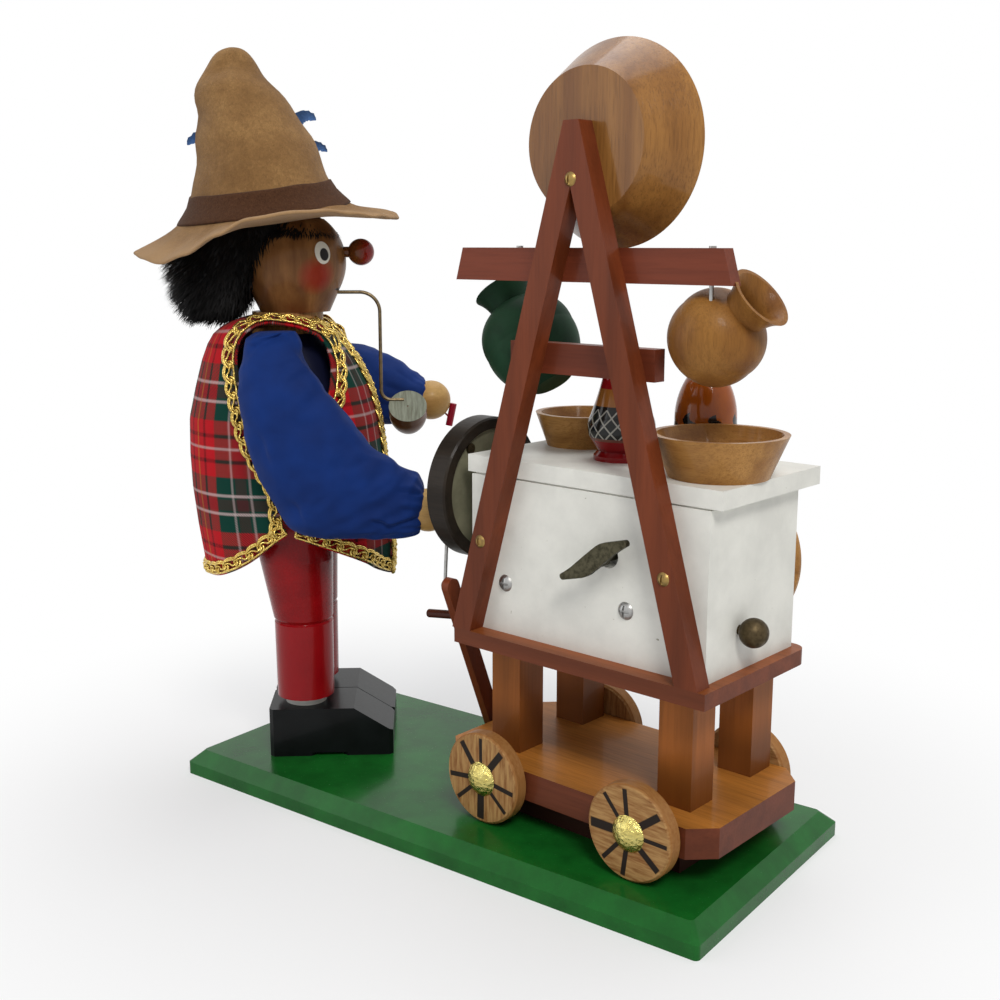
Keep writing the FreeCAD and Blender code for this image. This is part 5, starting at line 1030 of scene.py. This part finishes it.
def braid(name, points, inward, material):
    """Two threads that run along an edge in overlapping loops, a wavy middle thread and a cord on the edge."""
    edge = Edge(points)
    count = max(int(edge.total / BRAID_PITCH), 1)
    pitch = edge.total / count
    for number, (loop, sweep, middle, lift, phase, radius) in enumerate(BRAID_THREADS):
        line = []
        for step in range(count * BRAID_STEPS + 1):
            turn = 2 * pi * step / BRAID_STEPS + phase
            length = pitch * step / BRAID_STEPS - sweep * sin(turn)
            place, ahead, out = edge.at(length)
            over = min(max(length, 0), edge.total) - length
            across = out.cross(ahead).normalized() * inward
            line.append(place - ahead * over * 0.2 + across * (middle - loop * cos(turn))
                        + out * (lift + 0.4 * cos(2 * turn + 0.8)))
        tube(f"{name}_thread_{number}", line, radius, material)
    core = []
    for step in range(count * 4 + 1):
        place, ahead, out = edge.at(pitch * step / 4)
        core.append(place + out.cross(ahead).normalized() * inward * 0.3 + out * (0.9 + 0.25 * (step % 2)))
    tube(f"{name}_core", smooth_line(core, 2), BRAID_CORE, material)


def heights(low, high, count, crowding):
    """Heights that crowd towards the top, where the cloth's edges turn over the shoulder."""
    return [low + (high - low) * (1 - (1 - k / count) ** crowding) for k in range(count + 1)]


def hem_line(hem, start, end, count, sign):
    """Points just above a panel's hem, from one of its edges to the other."""
    line = []
    for share in (k / count for k in range(count + 1)):
        height = hem(share) + 0.8
        line.append(vest_point(sign * (start(height) + (end(height) - start(height)) * share), height))
    return line


def build_braid():
    material = gold_material()
    side_heights = heights(119, 209.3, 90, 2)
    neck_heights = heights(93, 211.2, 70, 1.4)
    for side, sign in (("near", -1), ("far", 1)):
        armhole = [vest_point(sign * (back_edge(h) + 0.02), h) for h in side_heights]
        armhole += [vest_point(sign * (front_edge(h) - 0.07), h) for h in reversed(side_heights)]
        braid(f"braid_armhole_{side}", armhole, -sign, material)
        opening = [vest_point(sign * neck_edge(h), h) for h in neck_heights]
        braid(f"braid_opening_{side}", opening, -sign, material)
        hem = hem_line(front_hem, neck_edge, front_edge, 40, sign)
        braid(f"braid_front_hem_{side}", hem, sign, material)
    back = hem_line(back_hem, back_edge, lambda height: 2 * pi - back_edge(height), 90, 1)
    braid("braid_back_hem", back, 1, material)


def blue_material():
    g = Graph("blue_cloth", FIGURE)
    cloud = g.noise(g.home, 0.05, 3, 0.5)
    thread = g.noise(g.home, 3.5, 3, 0.6)
    body = g.mix(g.ramp(cloud, 0.35, 0.7), rgb(11, 46, 112), rgb(8, 34, 88))
    body = g.mix(g.times(thread, 0.2), body, rgb(30, 62, 134))
    g.bump(thread, 0.2, 0.2)
    return g.finish(body, 0.75, sheen=0.02, shine=0.15)


SLEEVE_SQUARE = 0.82


def sleeve_points(sections, around):
    """Rings of a sleeve. Each section gives its back point, its front point, its side and its half width."""
    backs = [(back, back_up, side) for back, back_up, _, _, side, _ in sections]
    fronts = [(front, front_up, half) for _, _, front, front_up, _, half in sections]
    lines = [smooth_line(run, 7) for run in (backs, fronts)]
    points = []
    for back, front in zip(*lines):
        first = Vector((back.x, 0, back.y))
        last = Vector((front.x, 0, front.y))
        middle, half = (first + last) / 2, (last - first) / 2
        for turn in ring_turns(around):
            c, s = (squared(part, SLEEVE_SQUARE) for part in (cos(turn), sin(turn)))
            points.append(middle + half * c + Vector((0, 1, 0)) * (back.z + front.z * s))
    return points, len(lines[0])


def crease(x, z, start_x, start_z, end_x, end_z, width, depth):
    """The lift of the cloth by one crease: a valley along a line with a roll of cloth above it."""
    length = hypot(end_x - start_x, end_z - start_z)
    ahead_x, ahead_z = (end_x - start_x) / length, (end_z - start_z) / length
    x, z = x - start_x, z - start_z
    run = (x * ahead_x + z * ahead_z) / length
    aside = (z * ahead_x - x * ahead_z) / width
    fade = max(0, min(1, (run + 0.15) / 0.3)) * max(0, min(1, (1.15 - run) / 0.3))
    fade = soft_step(fade)
    valley = -exp(-(aside * 1.6) ** 2) + 0.9 * exp(-((aside - 1.5) / 1.1) ** 2)
    return depth * fade * valley


def build_sleeve(name, sections, side, creases, material):
    """A full sleeve of soft cloth: rings along the arm, gathered at both ends and creased where the arm bends."""
    around = 120
    points, rows = sleeve_points(sections, around)
    lifted = []
    for index, point in enumerate(points):
        row, step = divmod(index, around)
        ring = points[row * around:(row + 1) * around]
        middle = (ring[0] + ring[around // 4] + ring[around // 2] + ring[3 * around // 4]) / 4
        outward = point - middle
        outward = outward.normalized() if outward.length > 0.1 else Vector((0, 1, 0))
        turn = 2 * pi * step / around
        soft = sum(noise.noise(point * scale) * size for scale, size in ((0.045, 1.5), (0.11, 0.7), (0.3, 0.15)))
        slanted = Vector((point.x * 0.035 + point.z * 0.02, point.y * 0.04, point.z * 0.07 - point.x * 0.045))
        soft += 1.3 * (0.3 - abs(noise.noise(slanted * 1.6)) * 1.6)
        share = row / rows
        gather = 0.8 * share ** 7 * sin(13 * turn + 1.5 * sin(3 * turn))
        gather += 0.5 * (1 - share) ** 14 * sin(11 * turn)
        facing = max(0, outward.y * side)
        lift = sum(crease(point.x, point.z, *fold) for fold in creases) * min(1, 0.25 + facing)
        lifted.append(point + outward * (soft + gather + lift))
    return mesh_piece(name, lifted, tube_faces(lifted, around), FIGURE, material, UPPER)


NEAR_SECTIONS = [
    # back and its height, front and its height, side, half width
    (-14, 208, 2, 208.4, -36.5, 5), (-18, 204.5, 5.6, 204.2, -38.5, 9.5),
    (-20.4, 194, 7.4, 196, -41.5, 12), (-21, 176.3, 15, 183.5, -44.5, 14.2),
    (-18.1, 157.5, 26, 171, -45.5, 14.8), (-8.1, 134.8, 37, 157.5, -45.5, 14.8),
    (1.5, 121.5, 45, 153, -45, 14.2), (20, 118.6, 51, 148.5, -44, 13.5),
    (38, 117.8, 54.6, 145.5, -43, 12), (52, 119.5, 56.6, 140.5, -42, 9),
    (55, 122, 57, 136.5, -42, 6),
]
FAR_SECTIONS = [
    (-14.5, 206.5, 4, 206.5, 35.5, 5.5), (-18, 199, 13, 199, 39.5, 10.5),
    (-12, 182, 28, 196, 42, 13), (2, 168, 37, 192.5, 41.5, 13),
    (20, 160, 46, 188, 38.5, 12.5), (38, 158, 53, 182.5, 34.5, 11),
    (50, 160.5, 57, 178, 31, 9), (55, 164, 58.2, 175.5, 30, 6),
]
# Start, end, width and depth of each crease, its places forward and up
NEAR_CREASES = [
    (-16, 201.5, -2, 207, 1.6, 1.6), (-13, 205, 0, 206.6, 1.1, 0.8),
    (3, 198.5, 19, 178.5, 2, -2.2), (8, 197, -3, 193, 1.6, 1.1),
    (30, 157.5, 55.5, 149, 2, -1.1), (35, 128.5, 42, 125, 1.6, 1.5),
    (42, 125, 54, 128.5, 1.5, 1.4), (-12, 166, -8, 154, 2.2, 0.6),
    (3, 150, 30, 153.5, 3, 0.45), (-1, 137, 4, 128, 2.2, 0.7),
    (8, 122, 26, 129, 3, 0.5), (46, 134, 56, 131, 1.5, 0.9),
    (47, 142, 56, 139, 1.3, 0.8),
]
FAR_CREASES = [
    (38, 178, 56, 171, 1.8, 1.4), (44, 184, 56, 176, 1.5, 1),
    (30, 170, 54, 166, 1.8, 1.2), (8, 190, 22, 176, 2.5, 0.8),
]


def build_sleeves():
    material = blue_material()
    near = build_sleeve("sleeve_near", NEAR_SECTIONS, -1, NEAR_CREASES, material)
    far = build_sleeve("sleeve_far", FAR_SECTIONS, 1, FAR_CREASES, material)
    for piece in (near, far):
        subdivide(piece)
    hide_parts("sleeves")


build_camera()
build_floor()
build_light()
dress_woodwork()
dress_metal()
dress_grinder()
dress_wheels()
dress_kitchen_ware()
dress_smoker()
build_hat()
build_band()
build_feathers()
build_hair()
build_vest()
build_braid()
build_sleeves()
